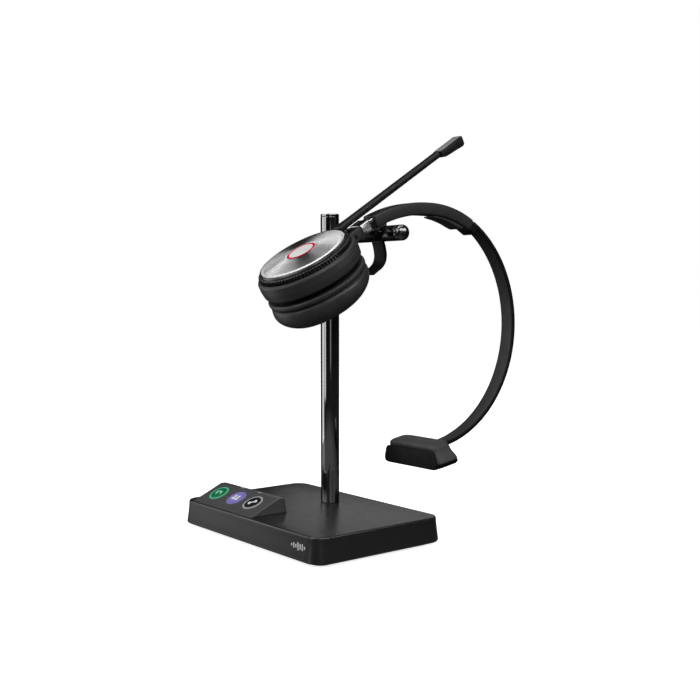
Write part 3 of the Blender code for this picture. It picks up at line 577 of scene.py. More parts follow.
def base():
    """Moulded base, open below, with the speaker grille's holes and the cable inlets."""
    length = BASE_HIGH.x - BASE_LOW.x - 2 * BASE_FLARE
    depth = BASE_HIGH.y - BASE_LOW.y - 2 * BASE_FLARE
    bm = bmesh.new()
    rows = [[bm.verts.new(point) for point in loop] for loop in base_loops(length, depth)]
    for here, there in zip(rows, rows[1:-2]):
        join_rows(bm, here, there)
    join_rows(bm, rows[-2], rows[-1])
    # the last outer row and the first inner one are closed as the top plate's two faces
    bm.faces.new(rows[-3])
    bm.faces.new(rows[-2])
    join_rows(bm, rows[-1], rows[0])
    shell = piece("base_shell", bm, SATIN, "stand", ["base_housing"])
    spots = []
    for row in range(-2, 3):
        count = 5 - abs(row)
        spots += [(GRILLE_X + GRILLE_PITCH * (column - (count - 1) / 2),
                   GRILLE_Y + GRILLE_PITCH * row * sin(pi / 3)) for column in range(count)]
    drilled(shell, spots, GRILLE_HOLE, BASE_HIGH.z - 0.004, BASE_HIGH.z + 0.001, 20)
    for inlet in ("usb_inlet_computer", "usb_inlet_desk_phone"):
        centre = middle(inlet)
        mouth = rounded_rectangle(0.0098, 0.0040, 0.0019, (centre.x, centre.z), 8)
        cut(shell, slab(mouth, depth / 2 - 0.004, depth / 2 + 0.003, 0.0, "Y", 1))
        tongue = rounded_rectangle(0.0062, 0.0007, 0.0003, (centre.x, centre.z), 4)
        piece(inlet + "_tongue", slab(tongue, depth / 2 - 0.0060, depth / 2 - 0.0018, 0.0001, "Y"),
              GROOVE, "stand")


def front_mark():
    """Generic mark on the front wall: bars like a sound level."""
    wall = Matrix.Translation((MARK_X, BASE_LOW.y + 0.0006, 0.0106))
    heights = (0.0016, 0.0034, 0.0024, 0.0050, 0.0036, 0.0042, 0.0020)
    for number, height in enumerate(heights):
        x = (number - (len(heights) - 1) / 2) * MARK_PITCH
        bar = rounded_rectangle(0.0012, height, 0.00058, (x, 0.0), 4)
        piece("front_mark_%d" % (number + 1), slab(bar, -0.00002, 0.00016, 0.00002, "Y"),
              PRINT, "stand", place=wall)


def key_frame(side):
    """Frame on the panel's slope with Z along the key's outward normal."""
    normal = -Vector(joint(side + "_key_press")["axis"]).normalized()
    return tilted_frame(middle(side + "_key_light_ring") + 0.0010 * normal, normal)


def panel():
    """Raised control panel: slope, level strip and back, with three key openings."""
    low, high = corners("control_panel")
    ridge_y = low.y + 0.0213
    outline = filleted([(low.y, low.z - GAP, 0.0), (high.y, low.z - GAP, 0.0003),
                        (ridge_y + 0.0046, high.z - 0.0002, 0.0012), (ridge_y, high.z, 0.0012)])
    # The cover's lighter plastic paints on the light that its slope catches.
    cover = piece("panel_cover", slab(outline, low.x, high.x, 0.0005, "X"), PANEL_SATIN_PAINTED_LIGHT, "stand",
                  ["control_panel"])
    for side in ("left", "middle", "right"):
        drilled(cover, [(0.0, 0.0)], KEY_WELL, -0.0030, 0.0020, ROUND, key_frame(side))


def keys():
    """Three lit rings with their key caps, and a pictogram on each cap."""
    finishes = (("left", GREEN_DARK, GREEN, "green_light"),
                ("middle", VIOLET, VIOLET, "violet_light"),
                ("right", KEY, WHITE, "white_light"))
    for side, face, ring, slot in finishes:
        place = key_frame(side)
        piece(side + "_light_ring",
              turned([(KEY_RING_INNER, -0.0022, 0), (KEY_RING_OUTER, -0.0022, 0),
                      (KEY_RING_OUTER, 0.0001, 0.0001), (KEY_RING_OUTER - 0.0003, 0.00028, 0.0002),
                      (KEY_RING_INNER + 0.0001, 0.00028, 0.0002)]),
              ring, "stand", [side + "_key_light_ring"], place)
        piece(side + "_key_cap", rod(KEY_CAP, -0.0018, 0.0004, 0.0, 0.0003),
              face, side + "_key", [side + "_key"], place)
    icon_bars("left", MINT, [((-0.0019, -0.0002), 0.0018, 0.0040, 20.0),
                             ((0.0019, 0.0006), 0.0018, 0.0034, 20.0),
                             ((0.0000, 0.0016), 0.0042, 0.0012, 5.0)])
    icon_bars("middle", ICON, [((side * 0.0018, height), length, depth, 0.0)
                               for height, length, depth in ((0.0013, 0.0024, 0.0024),
                                                             (-0.0013, 0.0034, 0.0022))
                               for side in (-1, 1)])
    icon_bars("right", ICON, [((0.0, 0.0), 0.0044, 0.0013, 45.0),
                              ((-0.0017, -0.0015), 0.0020, 0.0032, 45.0),
                              ((0.0017, 0.0015), 0.0020, 0.0032, 45.0)])


def icon_bars(side, mat, bars):
    """Pictogram on a key out of small rounded bars: (centre, length, height, turn)."""
    for number, (centre, length, height, turn) in enumerate(bars):
        corner = 0.49 * min(length, height)
        place = key_frame(side) @ frame_at((*centre, 0.0004), radians(turn), "Z")
        piece("%s_icon_%d" % (side, number + 1),
              slab(rounded_rectangle(length, height, corner, steps=6), -0.00005, 0.00006, 0.00002),
              mat, side + "_key", place=place)


def panel_marks():
    """Two small printed signs on the level strip: a handset bar and a muted microphone."""
    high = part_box("control_panel")[1]
    spots = [("call_mark", -0.0395, 0.0030, 0.0011, 20.0, PRINT),
             ("mute_mark", -0.0190, 0.0026, 0.0010, 60.0, PRINT),
             ("mute_mark_slash", -0.0175, 0.0024, 0.0004, -35.0, REDDISH)]
    for name, x, length, height, turn, mat in spots:
        place = frame_at((x, high[1] - 0.0044, high[2]), radians(turn), "Z")
        piece(name, slab(rounded_rectangle(length, height, 0.48 * height, steps=6),
                         -0.00005, 0.00004, 0.00001),
              mat, "stand", place=place)


def post():
    """Lacquered tube and its cap, with a fine joint between them."""
    low, high = corners("post_tube")
    cap_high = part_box("post_cap")[1][2]
    radius = (high.x - low.x) / 2
    axis = Matrix.Translation((POST.x, POST.y, 0.0))
    piece("post_column", rod(radius, low.z, high.z, 0.0003, 0.0002),
          LACQUER, "stand", ["post_tube"], axis)
    piece("post_top", rod(radius, high.z + GAP, cap_high, 0.0002, 0.0006),
          LACQUER, "stand", ["post_cap"], axis)
    piece("post_joint", rod(radius - 0.0003, high.z - 0.001, high.z + 0.001),
          GROOVE, "stand", place=axis)


def peg():
    """Peg with the recess that the head band sits in, and its domed end cap."""
    low, high = corners("hanger_peg")
    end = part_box("peg_end_cap")[1][0]
    radius = (high.z - low.z) / 2
    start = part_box("post_tube")[1][0] + 0.0001
    along = frame_at((0.0, PEG.y, (low.z + high.z) / 2), pi / 2, "Y")
    waist_low, waist_high = HEADSET_X - PEG_WAIST_HALF, HEADSET_X + PEG_WAIST_HALF
    piece("peg_rod",
          turned([(0.0, start, 0), (radius, start, 0.0004),
                  (radius, waist_low, 0.0004), (PEG_WAIST, waist_low, 0.0002),
                  (PEG_WAIST, waist_high, 0.0002), (radius, waist_high, 0.0004),
                  (radius, high.x, 0.0003), (0.0, high.x, 0)], 96),
          GLOSS, "stand", ["hanger_peg"], along)
    bend = [pi / 2 * k / 12 for k in range(13)]
    piece("peg_tip",
          turned([(0.0, high.x + GAP, 0), (radius, high.x + GAP, 0.0003)]
                 + [(radius * cos(a), end - PEG_DOME * (1 - sin(a)), 0) for a in bend], 96),
          CHROME, "stand", ["peg_end_cap"], along)


def cradle():
    """Charging cradle: a half clip round the peg's recess and a curved tongue below it."""
    def arc(radius, angles):
        return [(PEG.y + radius * cos(radians(a)), PEG.z + radius * sin(radians(a)))
                for a in angles]
    low, high = corners("charging_cradle")
    clip = arc(CLIP_OUTER, range(168, 353, 4)) + arc(CLIP_INNER, range(352, 167, -4))
    piece("cradle_clip", slab(clip, low.x, high.x, 0.0003, "X", 2), DARK, "stand",
          ["charging_cradle"])
    lip = filleted([(0.0136, 0.1912, 0.0008), (0.0180, 0.1906, 0), (0.0180, 0.1950, 0),
                    (0.0136, 0.1950, 0.0006)])
    piece("cradle_lip", slab(lip, low.x, high.x, 0.0004, "X"), DARK, "stand")
    path = catmull([(0.0203, 0.1903), (0.0219, 0.1856), (0.0227, 0.1808), (0.0219, 0.1768),
                    (0.0196, 0.1737), (0.0160, 0.1713), (0.0123, 0.1688)], 10)
    piece("cradle_tongue", strip_along(path, 0.0009, high.x - low.x, HEADSET_X), DARK, "stand")


def catmull(points, steps):
    """Catmull-Rom curve through 2-D points."""
    padded = [points[0]] + points + [points[-1]]
    path = []
    for p0, p1, p2, p3 in zip(padded, padded[1:], padded[2:], padded[3:]):
        for step in range(steps):
            t = step / steps
            path.append(tuple(
                0.5 * (2 * b + (c - a) * t + (2 * a - 5 * b + 4 * c - d) * t * t
                       + (3 * b - a - 3 * c + d) * t ** 3)
                for a, b, c, d in zip(p0, p1, p2, p3)))
    path.append(points[-1])
    return path


def section(half_x, low, high, corner, steps=4):
    """Rounded rectangle in (x, height), centred on x = 0."""
    return rounded_rectangle(2 * half_x, high - low, corner, (0.0, (low + high) / 2), steps)


def strip_along(path, half, width, x):
    """Flat strip with rounded edges and rounded ends along a 2-D (y, z) path."""
    loops = []
    count = len(path) - 1
    for i, (y, z) in enumerate(path):
        y0, z0 = path[max(i - 1, 0)]
        y1, z1 = path[min(i + 1, count)]
        length = hypot(y1 - y0, z1 - z0)
        ny, nz = -(z1 - z0) / length, (y1 - y0) / length
        end = min(i, count - i, 2)
        shrink = (0.55, 0.85, 1.0)[end]
        loops.append([(x + a, y + ny * b, z + nz * b)
                      for a, b in section(width / 2 * (0.94 + 0.06 * shrink), -half * shrink,
                                          half * shrink, half * shrink * 0.7)])
    return skin(loops)


# ---------------- head band
def arc_at(degrees):
    """The one of the band's two arcs that an angle falls on."""
    return FRONT_ARC if degrees > 0.0 else BACK_ARC


def band_point(degrees, offset=0.0):
    """(y, z) of the band's middle line, moved outwards; degrees are positive to the ear cup."""
    cy, cz, radius = arc_at(degrees)
    angle = radians(degrees)
    return (cy - (radius + offset) * sin(angle), cz + (radius + offset) * cos(angle))


def band_sweep(start, end, low, high, half_x, corner, step=1.0, end_round=0.0010):
    """Round-ended strip along the band, backwards from start; low may depend on the degrees."""
    count = round((start - end) / step)
    body = []
    for i in range(count + 1):
        degrees = start + (end - start) * i / count
        reach = radians(min(start - degrees, degrees - end)) * arc_at(degrees)[2]
        if reach > end_round:
            body.append((degrees, reach))
    close = [end_round * k / 4 for k in range(4)]
    head = [(start - (reach / arc_at(start)[2]) * 180 / pi, reach) for reach in close]
    tail = [(end + (reach / BACK_ARC[2]) * 180 / pi, reach) for reach in reversed(close)]
    rows = []
    for degrees, reach in head + body + tail:
        t = min(reach / end_round, 1.0)
        inset = end_round * (1.0 - sqrt(1.0 - (1.0 - t) ** 2))
        bottom = (low(degrees) if callable(low) else low) + inset
        top = high - inset
        row = []
        for a, b in section(half_x - inset, bottom, top, min(corner, 0.48 * (top - bottom))):
            y, z = band_point(degrees, b)
            row.append((HEADSET_X + a, y, z))
        rows.append(row)
    return skin(rows)


def headband():
    """Thick shell with the slider's slot, and the thin strap that leaves its lap."""
    shell = piece("band_shell",
                  band_sweep(SHELL_START, LAP_END + 0.05, -SHELL_HALF, SHELL_HALF,
                             BAND_WIDTH / 2, BAND_EDGE, 0.8),
                  BAND_SOFT, "headband", ["headband_shell"])
    cut(shell, band_sweep(SHELL_START + 2.0, 11.4, 0.0002, 0.0032, 0.0043, 0.0004, 1.0, 0.0001))
    piece("band_lap",
          band_sweep(LAP_END + 1.0, SHELL_END, -SHELL_HALF, SHELL_HALF - STRAP_THICKNESS - GAP,
                     BAND_WIDTH / 2, BAND_EDGE, 0.8),
          STRAP, "headband")
    inner = SHELL_HALF - STRAP_THICKNESS - STRAP_STEP
    piece("band_strap",
          band_sweep(LAP_END - 0.3, STRAP_END, inner, SHELL_HALF - 0.0002,
                     (BAND_WIDTH - 0.001) / 2, 0.0006, 1.5),
          STRAP, "headband", ["headband_strap"])
    # Lighter sheet over the strap's inner face: painted light.
    piece("strap_liner_painted_light",
          band_sweep(SHELL_END - 1.0, STRAP_END + 6.0, inner - 0.00012, inner + 0.0003,
                     BAND_WIDTH / 2 - 0.0012, 0.0001, 1.5, 0.0001),
          STRAP_LINER_PAINTED_LIGHT, "headband")
    hinge = frame_at(joint("tbar_tilt")["pos_m"], pi / 2, "Y")
    piece("strap_eye",
          turned([(0.0013, -0.0052, 0), (0.0026, -0.0052, 0.0003), (0.0026, 0.0052, 0.0003),
                  (0.0013, 0.0052, 0)], FINE),
          BAND_SOFT, "headband", place=hinge)


def head_pad():
    """Soft strip under the band's top: thin at its front end, full at the back."""
    def fullness(degrees):
        t = (PAD_START - degrees) / (PAD_START - PAD_END)
        crown = 1.0 - max(0.0, (t - 0.86) / 0.14) ** 2
        return -SHELL_HALF - GAP - 0.0010 - 0.0018 * min(1.0, 1.35 * t) * crown
    pad = piece("band_pad",
                band_sweep(PAD_START, PAD_END, fullness, -SHELL_HALF - GAP,
                           (BAND_WIDTH - 0.001) / 2, 0.0011, 0.6, 0.0009),
                LEATHER, "headband", ["headband_pad"])


def contact_block():
    """Block under the shell's front end that holds the charging contacts."""
    low, high = corners("headband_contact_block")
    top = [band_point(SHELL_START - 0.3 - d * 0.85, -SHELL_HALF - 0.0001) for d in range(7)]
    outline = [(*point, 0) for point in top]
    outline += [(top[-1][0], 0.1980, 0.0006), (0.0206, 0.1978, 0.0006),
                (0.0186, 0.1958, 0.0006), (top[0][0], 0.19545, 0.0008)]
    piece("band_contact_block", slab(filleted(outline), low.x, high.x, 0.0004, "X"), BAND_SOFT,
          "headband", ["headband_contact_block"])


def slider_and_knuckle():
    """Bright slider bar and end block, and the forked knuckle that the ear cup tilts in."""
    bar = band_sweep(32.3, 12.0, 0.0005, 0.0029, 0.0040, 0.0005, 0.8, 0.0004)
    piece("slider_strip", bar, SILVER, "slider", ["slider_bar"])
    end = filleted([(0.0427, -0.0142, 0.0006), (0.0505, -0.0142, 0.0010),
                    (0.0512, -0.0066, 0.0010), (0.0427, -0.0066, 0.0006)])
    piece("slider_block", slab(end, -0.0052, 0.0052, 0.0006, "X"), SILVER, "slider",
          place=CUP)
    fork = filleted([(0.0330, -0.0143, 0.0016), (0.0424, -0.0143, 0.0008),
                     (0.0424, -0.0068, 0.0008), (0.0330, -0.0068, 0.0016)])
    body = piece("fork", slab(fork, -0.0055, 0.0055, 0.0008, "X"), BAND_SOFT, "knuckle",
                 ["knuckle"], place=CUP)
    cut(body, slab([(0.0300, -0.0200), (0.0392, -0.0200), (0.0392, 0.0), (0.0300, 0.0)],
                   -0.0028, 0.0028, 0.0, "X", 1), CUP)
    for side in (-1, 1):
        screw = CUP @ frame_at((side * 0.0055, 0.0362, -0.0106), side * pi / 2, "Y")
        piece("fork_screw_%s" % ("left" if side < 0 else "right"),
              turned([(0.0, -0.0004, 0), (0.0013, -0.0004, 0), (0.0013, 0.00005, 0.0001),
                      (0.0005, 0.00005, 0), (0.0005, -0.0002, 0), (0.0, -0.0002, 0)], FINE),
              DARK, "knuckle", place=screw)


def tbar():
    """Bar at the strap's end: hard face and tray, and the soft pad wrapped over the rest."""
    low, high = corners("tbar_housing")
    centre_x, half_x = (low.x + high.x) / 2, (high.x - low.x) / 2
    place = frame_at((centre_x, TBAR_Y, TBAR_Z), TBAR_TILT, "X")
    lean = atan2(0.0018, 0.0096)
    face_place = place @ frame_at((0.0, -0.0092, -0.0050), -lean, "X")
    face = filleted([(-half_x + 0.0004, -0.0048, 0.0042), (half_x - 0.0004, -0.0048, 0.0022),
                     (half_x - 0.0044, 0.0066, 0.0030), (-half_x + 0.0030, 0.0066, 0.0034)], 8)
    piece("tbar_face", slab(face, -0.0008, 0.0030, 0.0010, "Y", 5), FACE, "tbar",
          ["tbar_housing"], face_place, 60.0)
    levels = [loft_level(half_x - inset, -0.0078, back, 0.0030, height)
              for inset, back, height in ((0.0016, 0.0082, -0.0098), (0.0004, 0.0098, -0.0094),
                                          (0.0001, 0.0106, -0.0086), (0.0001, 0.0112, -0.0076),
                                          (0.0010, 0.0106, -0.0073), (0.0016, 0.0098, -0.0073))]
    tray = piece("tbar_tray", skin(levels), FACE, "tbar", place=place, smooth=50.0)
    sizes = ((0.0016, -0.0074, 0.0098, -0.0074), (0.0005, -0.0074, 0.0108, -0.0071),
             (0.0002, -0.0074, 0.0112, -0.0064), (0.0006, -0.0073, 0.0108, -0.0052),
             (0.0014, -0.0072, 0.0100, -0.0034), (0.0024, -0.0071, 0.0091, -0.0014),
             (0.0032, -0.0072, 0.0086, 0.0006), (0.0037, -0.0076, 0.0084, 0.0020),
             (0.0040, -0.0079, 0.0082, 0.0030), (0.0046, -0.0078, 0.0078, 0.0040),
             (0.0055, -0.0072, 0.0070, 0.0048), (0.0068, -0.0062, 0.0062, 0.0053),
             (0.0088, -0.0046, 0.0050, 0.0056), (0.0120, -0.0026, 0.0030, 0.0057))
    loops = [loft_level(half_x - inset, front, back, 0.0034, height, 0.00010)
             for inset, front, back, height in sizes]
    pad = piece("tbar_cushion", skin(loops), PAD, "tbar", ["tbar_pad"], place, 70.0)
    slot = [(0.0625, 0.0700), (0.0620, 0.0552), (0.0640, 0.0530), (0.0672, 0.0528),
            (0.0800, 0.0552), (0.0800, 0.0700)]
    for obj in (pad, tray):
        cut(obj, slab(slot, HEADSET_X - 0.0056, HEADSET_X + 0.0056, 0.0, "X", 1))


def loft_level(half_x, front, back, corner, height, waver=0.0):
    """Rounded rectangle at one height of a soft form, its points drifting by up to waver."""
    outline = rounded_rectangle(2 * half_x, back - front, min(corner, (back - front) * 0.45),
                                (0.0, (front + back) / 2), 8)
    dense = []
    for (a0, b0), (a1, b1) in zip(outline, outline[1:] + outline[:1]):
        for k in range(6):
            dense.append((a0 + (a1 - a0) * k / 6, b0 + (b1 - b0) * k / 6))
    return [(a, b, height + waver * noise.noise(Vector((a * 200.0, b * 200.0, height * 300.0))))
            for a, b in dense]


# ---------------- ear cup
def dome(radius):
    """Height of the domed face at a distance from its centre."""
    return DISC_DOME * (1.0 - (radius / DISC_RADIUS) ** 2)


def dome_points(first, last, count=8):
    """Outline points over the domed face from one radius to another."""
    steps = [first + (last - first) * i / count for i in range(count + 1)]
    return [(radius, dome(radius), 0) for radius in steps]


def outer_face():
    """Spun disc, red status ring, call button and the black bezel round them."""
    piece("disc_plate",
          turned([(0.0092, -0.0012, 0), (0.0092, dome(0.0092) - 0.0001, 0)]
                 + dome_points(0.0094, 0.0268) + [(DISC_RADIUS, -0.0002, 0),
                                                  (DISC_RADIUS, -0.0012, 0)]),
          DISC, "earcup", ["disc_cover"], CUP)
    piece("disc_bezel",
          turned([(0.0272, -0.0015, 0), (0.0272, -0.0001, 0.0001), (0.0277, -0.0001, 0.0003),
                  (0.0285, -0.0010, 0.0002), (0.0285, -0.0016, 0), (0.0220, -0.0016, 0),
                  (0.0220, -0.0015, 0)]),
          RING, "earcup", ["earcup_bezel"], CUP)
    piece("status_ring",
          turned([(0.0079, -0.0014, 0), (0.0091, -0.0014, 0), (0.0091, dome(0.0091), 0.0001),
                  (0.0079, dome(0.0079), 0.0001)]),
          RED, "earcup", ["status_light_ring"], CUP)
    piece("call_cap",
          turned([(0.0, -0.0030, 0), (0.0030, -0.0030, 0), (0.0030, -0.0012, 0),
                  (0.0077, -0.0012, 0), (0.0077, dome(0.0077) - 0.0001, 0)]
                 + dome_points(0.0075, 0.0, 6)),
          PRINT, "call_button", ["call_button"], CUP)


def ribbed_ring():
    """Turning ring of the boom, with fine upright ribs round its side."""
    # radius, height and how much of a rib's depth is added there
    bands = [(0.0252, -0.0050, 0), (0.0252, -0.0018, 0), (0.0282, -0.0018, 0),
             (0.0286, -0.0019, 0), (0.0287, -0.0021, 0), (0.0287, -0.0023, 1),
             (0.0289, -0.0044, 1), (0.0290, -0.0046, 0), (0.0290, -0.0050, 0)]
    per_rib = 6
    shape = (0.0, 0.0, 0.0, 0.7, 1.0, 0.7)
    segments = RIB_COUNT * per_rib
    loops = []
    for s in range(segments):
        angle = 2 * pi * s / segments
        swell = RIB_DEPTH * shape[s % per_rib]
        loops.append([((radius + swell * ribbed) * cos(angle),
                       (radius + swell * ribbed) * sin(angle), height)
                      for radius, height, ribbed in bands])
    piece("ribbed_ring", skin(loops, ring=True), RING, "boom", ["boom_ring"], place=CUP,
          smooth=50.0)


def cup_housing():
    """Outer shell with its step, waist and groove, and the tilt lug."""
    body = piece("cup_shell",
                 turned([(0.0225, -0.0021, 0), (0.0249, -0.0021, 0), (0.0249, -0.0051, 0),
                         (0.0296, -0.0051, 0.0002), (0.0299, -0.0046, 0.0003),
                         (0.0311, -0.0048, 0.0005), (0.0319, -0.0060, 0.0012),
                         (0.0321, -0.0102, 0.0040), (0.0317, -0.0140, 0.0020),
                         (0.0312, -0.0149, 0.0003), (0.0290, -0.0152, 0.0002),
                         (0.0288, -0.0178, 0), (0.0218, -0.0178, 0), (0.0218, -0.0150, 0),
                         (0.0268, -0.0150, 0), (0.0270, -0.0143, 0), (0.0294, -0.0134, 0),
                         (0.0300, -0.0072, 0), (0.0225, -0.0072, 0)], TURNED_CUP, 6),
                 SOFT, "earcup", ["earcup_housing"], place=CUP)
    cut(body, slab(rounded_rectangle(0.0055, 0.0146, 0.0012, (-0.03125, 0.0), 5),
                   -0.0125, -0.0081, 0.0, "Z", 1), CUP)
    # Near-black band at the bottom of the groove between the shell and the back plate: a dark joint
    # that also paints on the groove's shade.
    piece("cup_groove_painted_shade",
          turned([(0.0280, -0.0180, 0), (0.02905, -0.0180, 0), (0.02905, -0.0153, 0),
                  (0.0280, -0.0153, 0)]),
          GROOVE, "earcup", place=CUP)
    lug = filleted([(0.0300, -0.0130, 0), (0.0375, -0.0130, 0.0020), (0.0386, -0.0106, 0.0020),
                    (0.0375, -0.0082, 0.0020), (0.0300, -0.0082, 0)])
    piece("cup_lug", slab(lug, -0.0025, 0.0025, 0.0004, "X"), SOFT, "earcup", place=CUP)
    piece("volume_key",
          slab(rounded_rectangle(0.0136, 0.0036, 0.0012, (0.0, -0.0103), 6), -0.0325, -0.0294,
               0.0004, "X"),
          SOFT, "volume_rocker", ["volume_rocker"], place=CUP)


def cup_back():
    """Back plate with its lip, and the speaker's moulded grille."""
    piece("cup_back_plate",
          turned([(0.0205, -0.0212, 0), (0.0205, -0.0181, 0), (0.0307, -0.0181, 0.0004),
                  (0.0316, -0.0188, 0.0008), (0.0316, -0.0205, 0.0008), (0.0308, -0.0212, 0.0003)],
                 TURNED_CUP),
          SOFT, "earcup", ["earcup_back_plate"], place=CUP)
    guard = piece("speaker_guard",
                  turned([(0.0, -0.0240, 0), (0.0150, -0.0236, 0.0004), (0.0198, -0.0226, 0.0004),
                          (0.0198, -0.0217, 0), (0.0, -0.0230, 0)]),
                  CLOTH, "earcup", ["speaker_driver"], place=CUP)
    spots = []
    for ring, count in enumerate((1, 6, 12, 18)):
        angles = [2 * pi * k / count for k in range(count)]
        spots += [(0.0034 * ring * cos(angle), 0.0034 * ring * sin(angle)) for angle in angles]
    drilled(guard, spots, 0.0006, -0.0285, -0.0210, 14, CUP)


def cushion_section():
    """(radius, height) outline of the ear cushion, from its outer seam round to the inner one."""
    return [(0.0296, -0.0216), (0.0304, -0.0216), (0.0309, -0.0219), (0.0308, -0.0222),
            (0.0306, -0.0224), (0.0309, -0.0227), (0.0313, -0.0232), (0.0315, -0.0241),
            (0.0316, -0.0253), (0.0316, -0.0266), (0.0314, -0.0280), (0.0309, -0.0295),
            (0.0301, -0.0309), (0.0291, -0.0322), (0.0279, -0.0334), (0.0265, -0.0345),
            (0.0249, -0.0355), (0.0233, -0.0362), (0.0215, -0.0365), (0.0199, -0.0361),
            (0.0184, -0.0351), (0.0172, -0.0334), (0.0165, -0.0313), (0.0161, -0.0290),
            (0.0162, -0.0266), (0.0166, -0.0247), (0.0176, -0.0233), (0.0289, -0.0233)]


def ear_cushion():
    """Ring cushion: a soft crowned section with gathers at the seam and an uneven fill."""
    outline = cushion_section()
    segments = 240
    loops = []
    for s in range(segments):
        angle = 2 * pi * s / segments
        spot = Vector((cos(angle), sin(angle), 0.0))
        swell = noise.noise(spot * FILL_SCALE + Vector((3.1, 0.0, 0.0)))
        gather = noise.noise(spot * GATHER_SCALE + Vector((0.0, 7.7, 0.0)))
        facing = cos(angle - CUSHION_FULL)
        loop = []
        for radius, height in outline:
            free = max(0.0, min(1.0, (-0.0226 - height) / 0.0040))
            near_seam = max(0.0, 1.0 - abs(height - CUSHION_SEAM) / 0.0016)
            out = FILL_DEPTH * swell * free + GATHER_DEPTH * gather * near_seam
            out += CUSHION_LEAN * free * facing
            side = 1.0 if radius > CUSHION_MIDDLE else -1.0
            reach = min(radius + side * out, CUSHION_REACH)
            depth = height * (1.0 + CUSHION_DEPTH * free * facing)
            loop.append((reach * cos(angle), reach * sin(angle), depth))
        loops.append(loop)
    cushion = piece("ear_pad", skin(loops, ring=True), LEATHER, "earcup", ["ear_cushion"],
                    CUP, 60.0)


# ---------------- boom
def boom_stem():
    """Arm with a fairing at its root and fine transverse ridges."""
    rows = []
    for i in range(BOOM_STEPS + 1):
        u = BOOM_START + (BOOM_END - BOOM_START) * i / BOOM_STEPS
        t = min(1.0, (u - BOOM_START) / BOOM_FAIRING)
        half = (0.0035 - 0.0006 * (t * t * (3 - 2 * t))
                - 0.0001 * (u - BOOM_START) / (BOOM_END - BOOM_START))
        ridged = max(0.0, min(1.0, (u - RIDGES_FROM) / 0.0040, (RIDGES_TO - u) / 0.0030))
        wave = 0.5 + 0.5 * cos(2 * pi * (u - BOOM_START) / RIDGE_PITCH)
        ridge = RIDGE_DEPTH * ridged * wave ** 3
        low, high = -0.0038 + ridge, 0.0001 - ridge
        pinch = 0.0004 * max(0.0, 1.0 - min(i, BOOM_STEPS - i) / 3.0)
        rows.append([(a, u, b) for a, b in section(half - ridge - pinch, low + pinch,
                                                   high - pinch, 0.0010)])
    piece("boom_stem", skin(rows), ARM, "boom", ["boom_arm"], place=CUP, smooth=60.0)


def microphone():
    """Microphone head with a light plate on its top that paints on a highlight, and the mesh in its
    lower face.
    """
    side = filleted([(0.1278, -0.0002, 0.0005), (0.1495, 0.0, 0.0006), (0.1505, -0.0010, 0.0006),
                     (0.1502, -0.0058, 0.0010), (0.1485, -0.0068, 0.0010),
                     (0.1310, -0.0055, 0.0030), (0.1284, -0.0046, 0.0020),
                     (0.1278, -0.0037, 0.0005)])
    head = piece("mic_head", slab(side, -0.0038, 0.0038, 0.0005, "X", 5), ARM, "boom",
                 ["mic_housing"], place=CUP)
    cut(head, slab(rounded_rectangle(0.0034, 0.0060, 0.0016, (0.0, MIC_Y), 8),
                   -0.0080, -0.0050, 0.0, "Z", 1), CUP)
    # Light plate on the head's top: painted highlight.
    piece("mic_top_painted_highlight",
          slab(rounded_rectangle(0.0066, 0.0206, 0.0008, (0.0, 0.1392), 6), -0.0004, 0.00012,
               0.0001),
          MIC_TOP_HIGHLIGHT_PAINT, "boom", place=CUP)
    piece("mic_mesh", slab(rounded_rectangle(0.0033, 0.0059, 0.0016, (0.0, MIC_Y), 8),
                           -0.0062, -0.0052, 0.0002), CLOTH, "boom", ["mic_capsule"], CUP)


# ---------------- carried-over CAD nodes
def carried_over():
    """Finishes for the CAD's hidden pieces, which are shown as they are."""
    finish_of(["base_bottom_cover"], SOFT)
    finish_of(["anti_slip_mat"], RUBBER)
    finish_of(["base_screw_1", "base_screw_2", "base_screw_3", "base_screw_4", "ballast_plate",
               "post_washer", "post_bolt", "peg_nut", "usb_inlet_computer",
               "usb_inlet_desk_phone", "swivel_pin", "tilt_pin", "tbar_hinge_pin",
               "earcup_screw_1", "earcup_screw_2"], STEEL)
    finish_of(["charging_pin_1", "charging_pin_2"], GOLD)
    finish_of(["base_circuit_board", "panel_circuit_board", "earcup_circuit_board"], BOARD)
    finish_of(["loudspeaker", "cushion_mount_ring"], GROOVE)
    finish_of(["battery"], WRAP)


# ---------------- camera, light and floor
def camera():
    """Camera fitted to the photo."""
    data = bpy.data.cameras.new("camera")
    data.lens = CAMERA_LENS
    data.sensor_width = 36.0
    obj = added("camera", data)
    obj.location = CAMERA_PLACE
    obj.rotation_euler = (pi / 2 - CAMERA_DOWN, 0.0, CAMERA_TURN)
    bpy.context.scene.camera = obj


def softbox(name, place, target, width, height, radiance):
    """Rectangular light of a given brightness, facing a target and unseen by the camera."""
    data = bpy.data.lights.new(name, "AREA")
    data.shape = "RECTANGLE"
    data.size = width
    data.size_y = height
    data.energy = radiance * pi * width * height
    obj = added(name, data)
    obj.location = place
    toward = Vector(target) - Vector(place)
    obj.rotation_euler = toward.to_track_quat("-Z", "Y").to_euler()
    obj.visible_camera = False


def mixed_by_ray(tree, kind, socket_a, socket_b):
    """Mix node, and its inputs for the camera's rays (b) and for all others (a)."""
    path = node(tree, "ShaderNodeLightPath")
    mix = node(tree, "ShaderNodeMix", data_type=kind)
    tree.links.new(path.outputs["Is Camera Ray"], mix.inputs[0])
    return mix, mix.inputs[socket_a], mix.inputs[socket_b]


def colour_by_ray(tree, unseen, seen, into):
    """Sends a grey into a colour socket: one for the camera's rays, one for all others."""
    mix, other, camera_ray = mixed_by_ray(tree, "RGBA", 6, 7)
    other.default_value = (unseen, unseen, unseen, 1.0)
    camera_ray.default_value = (seen, seen, seen, 1.0)
    tree.links.new(mix.outputs[2], into)


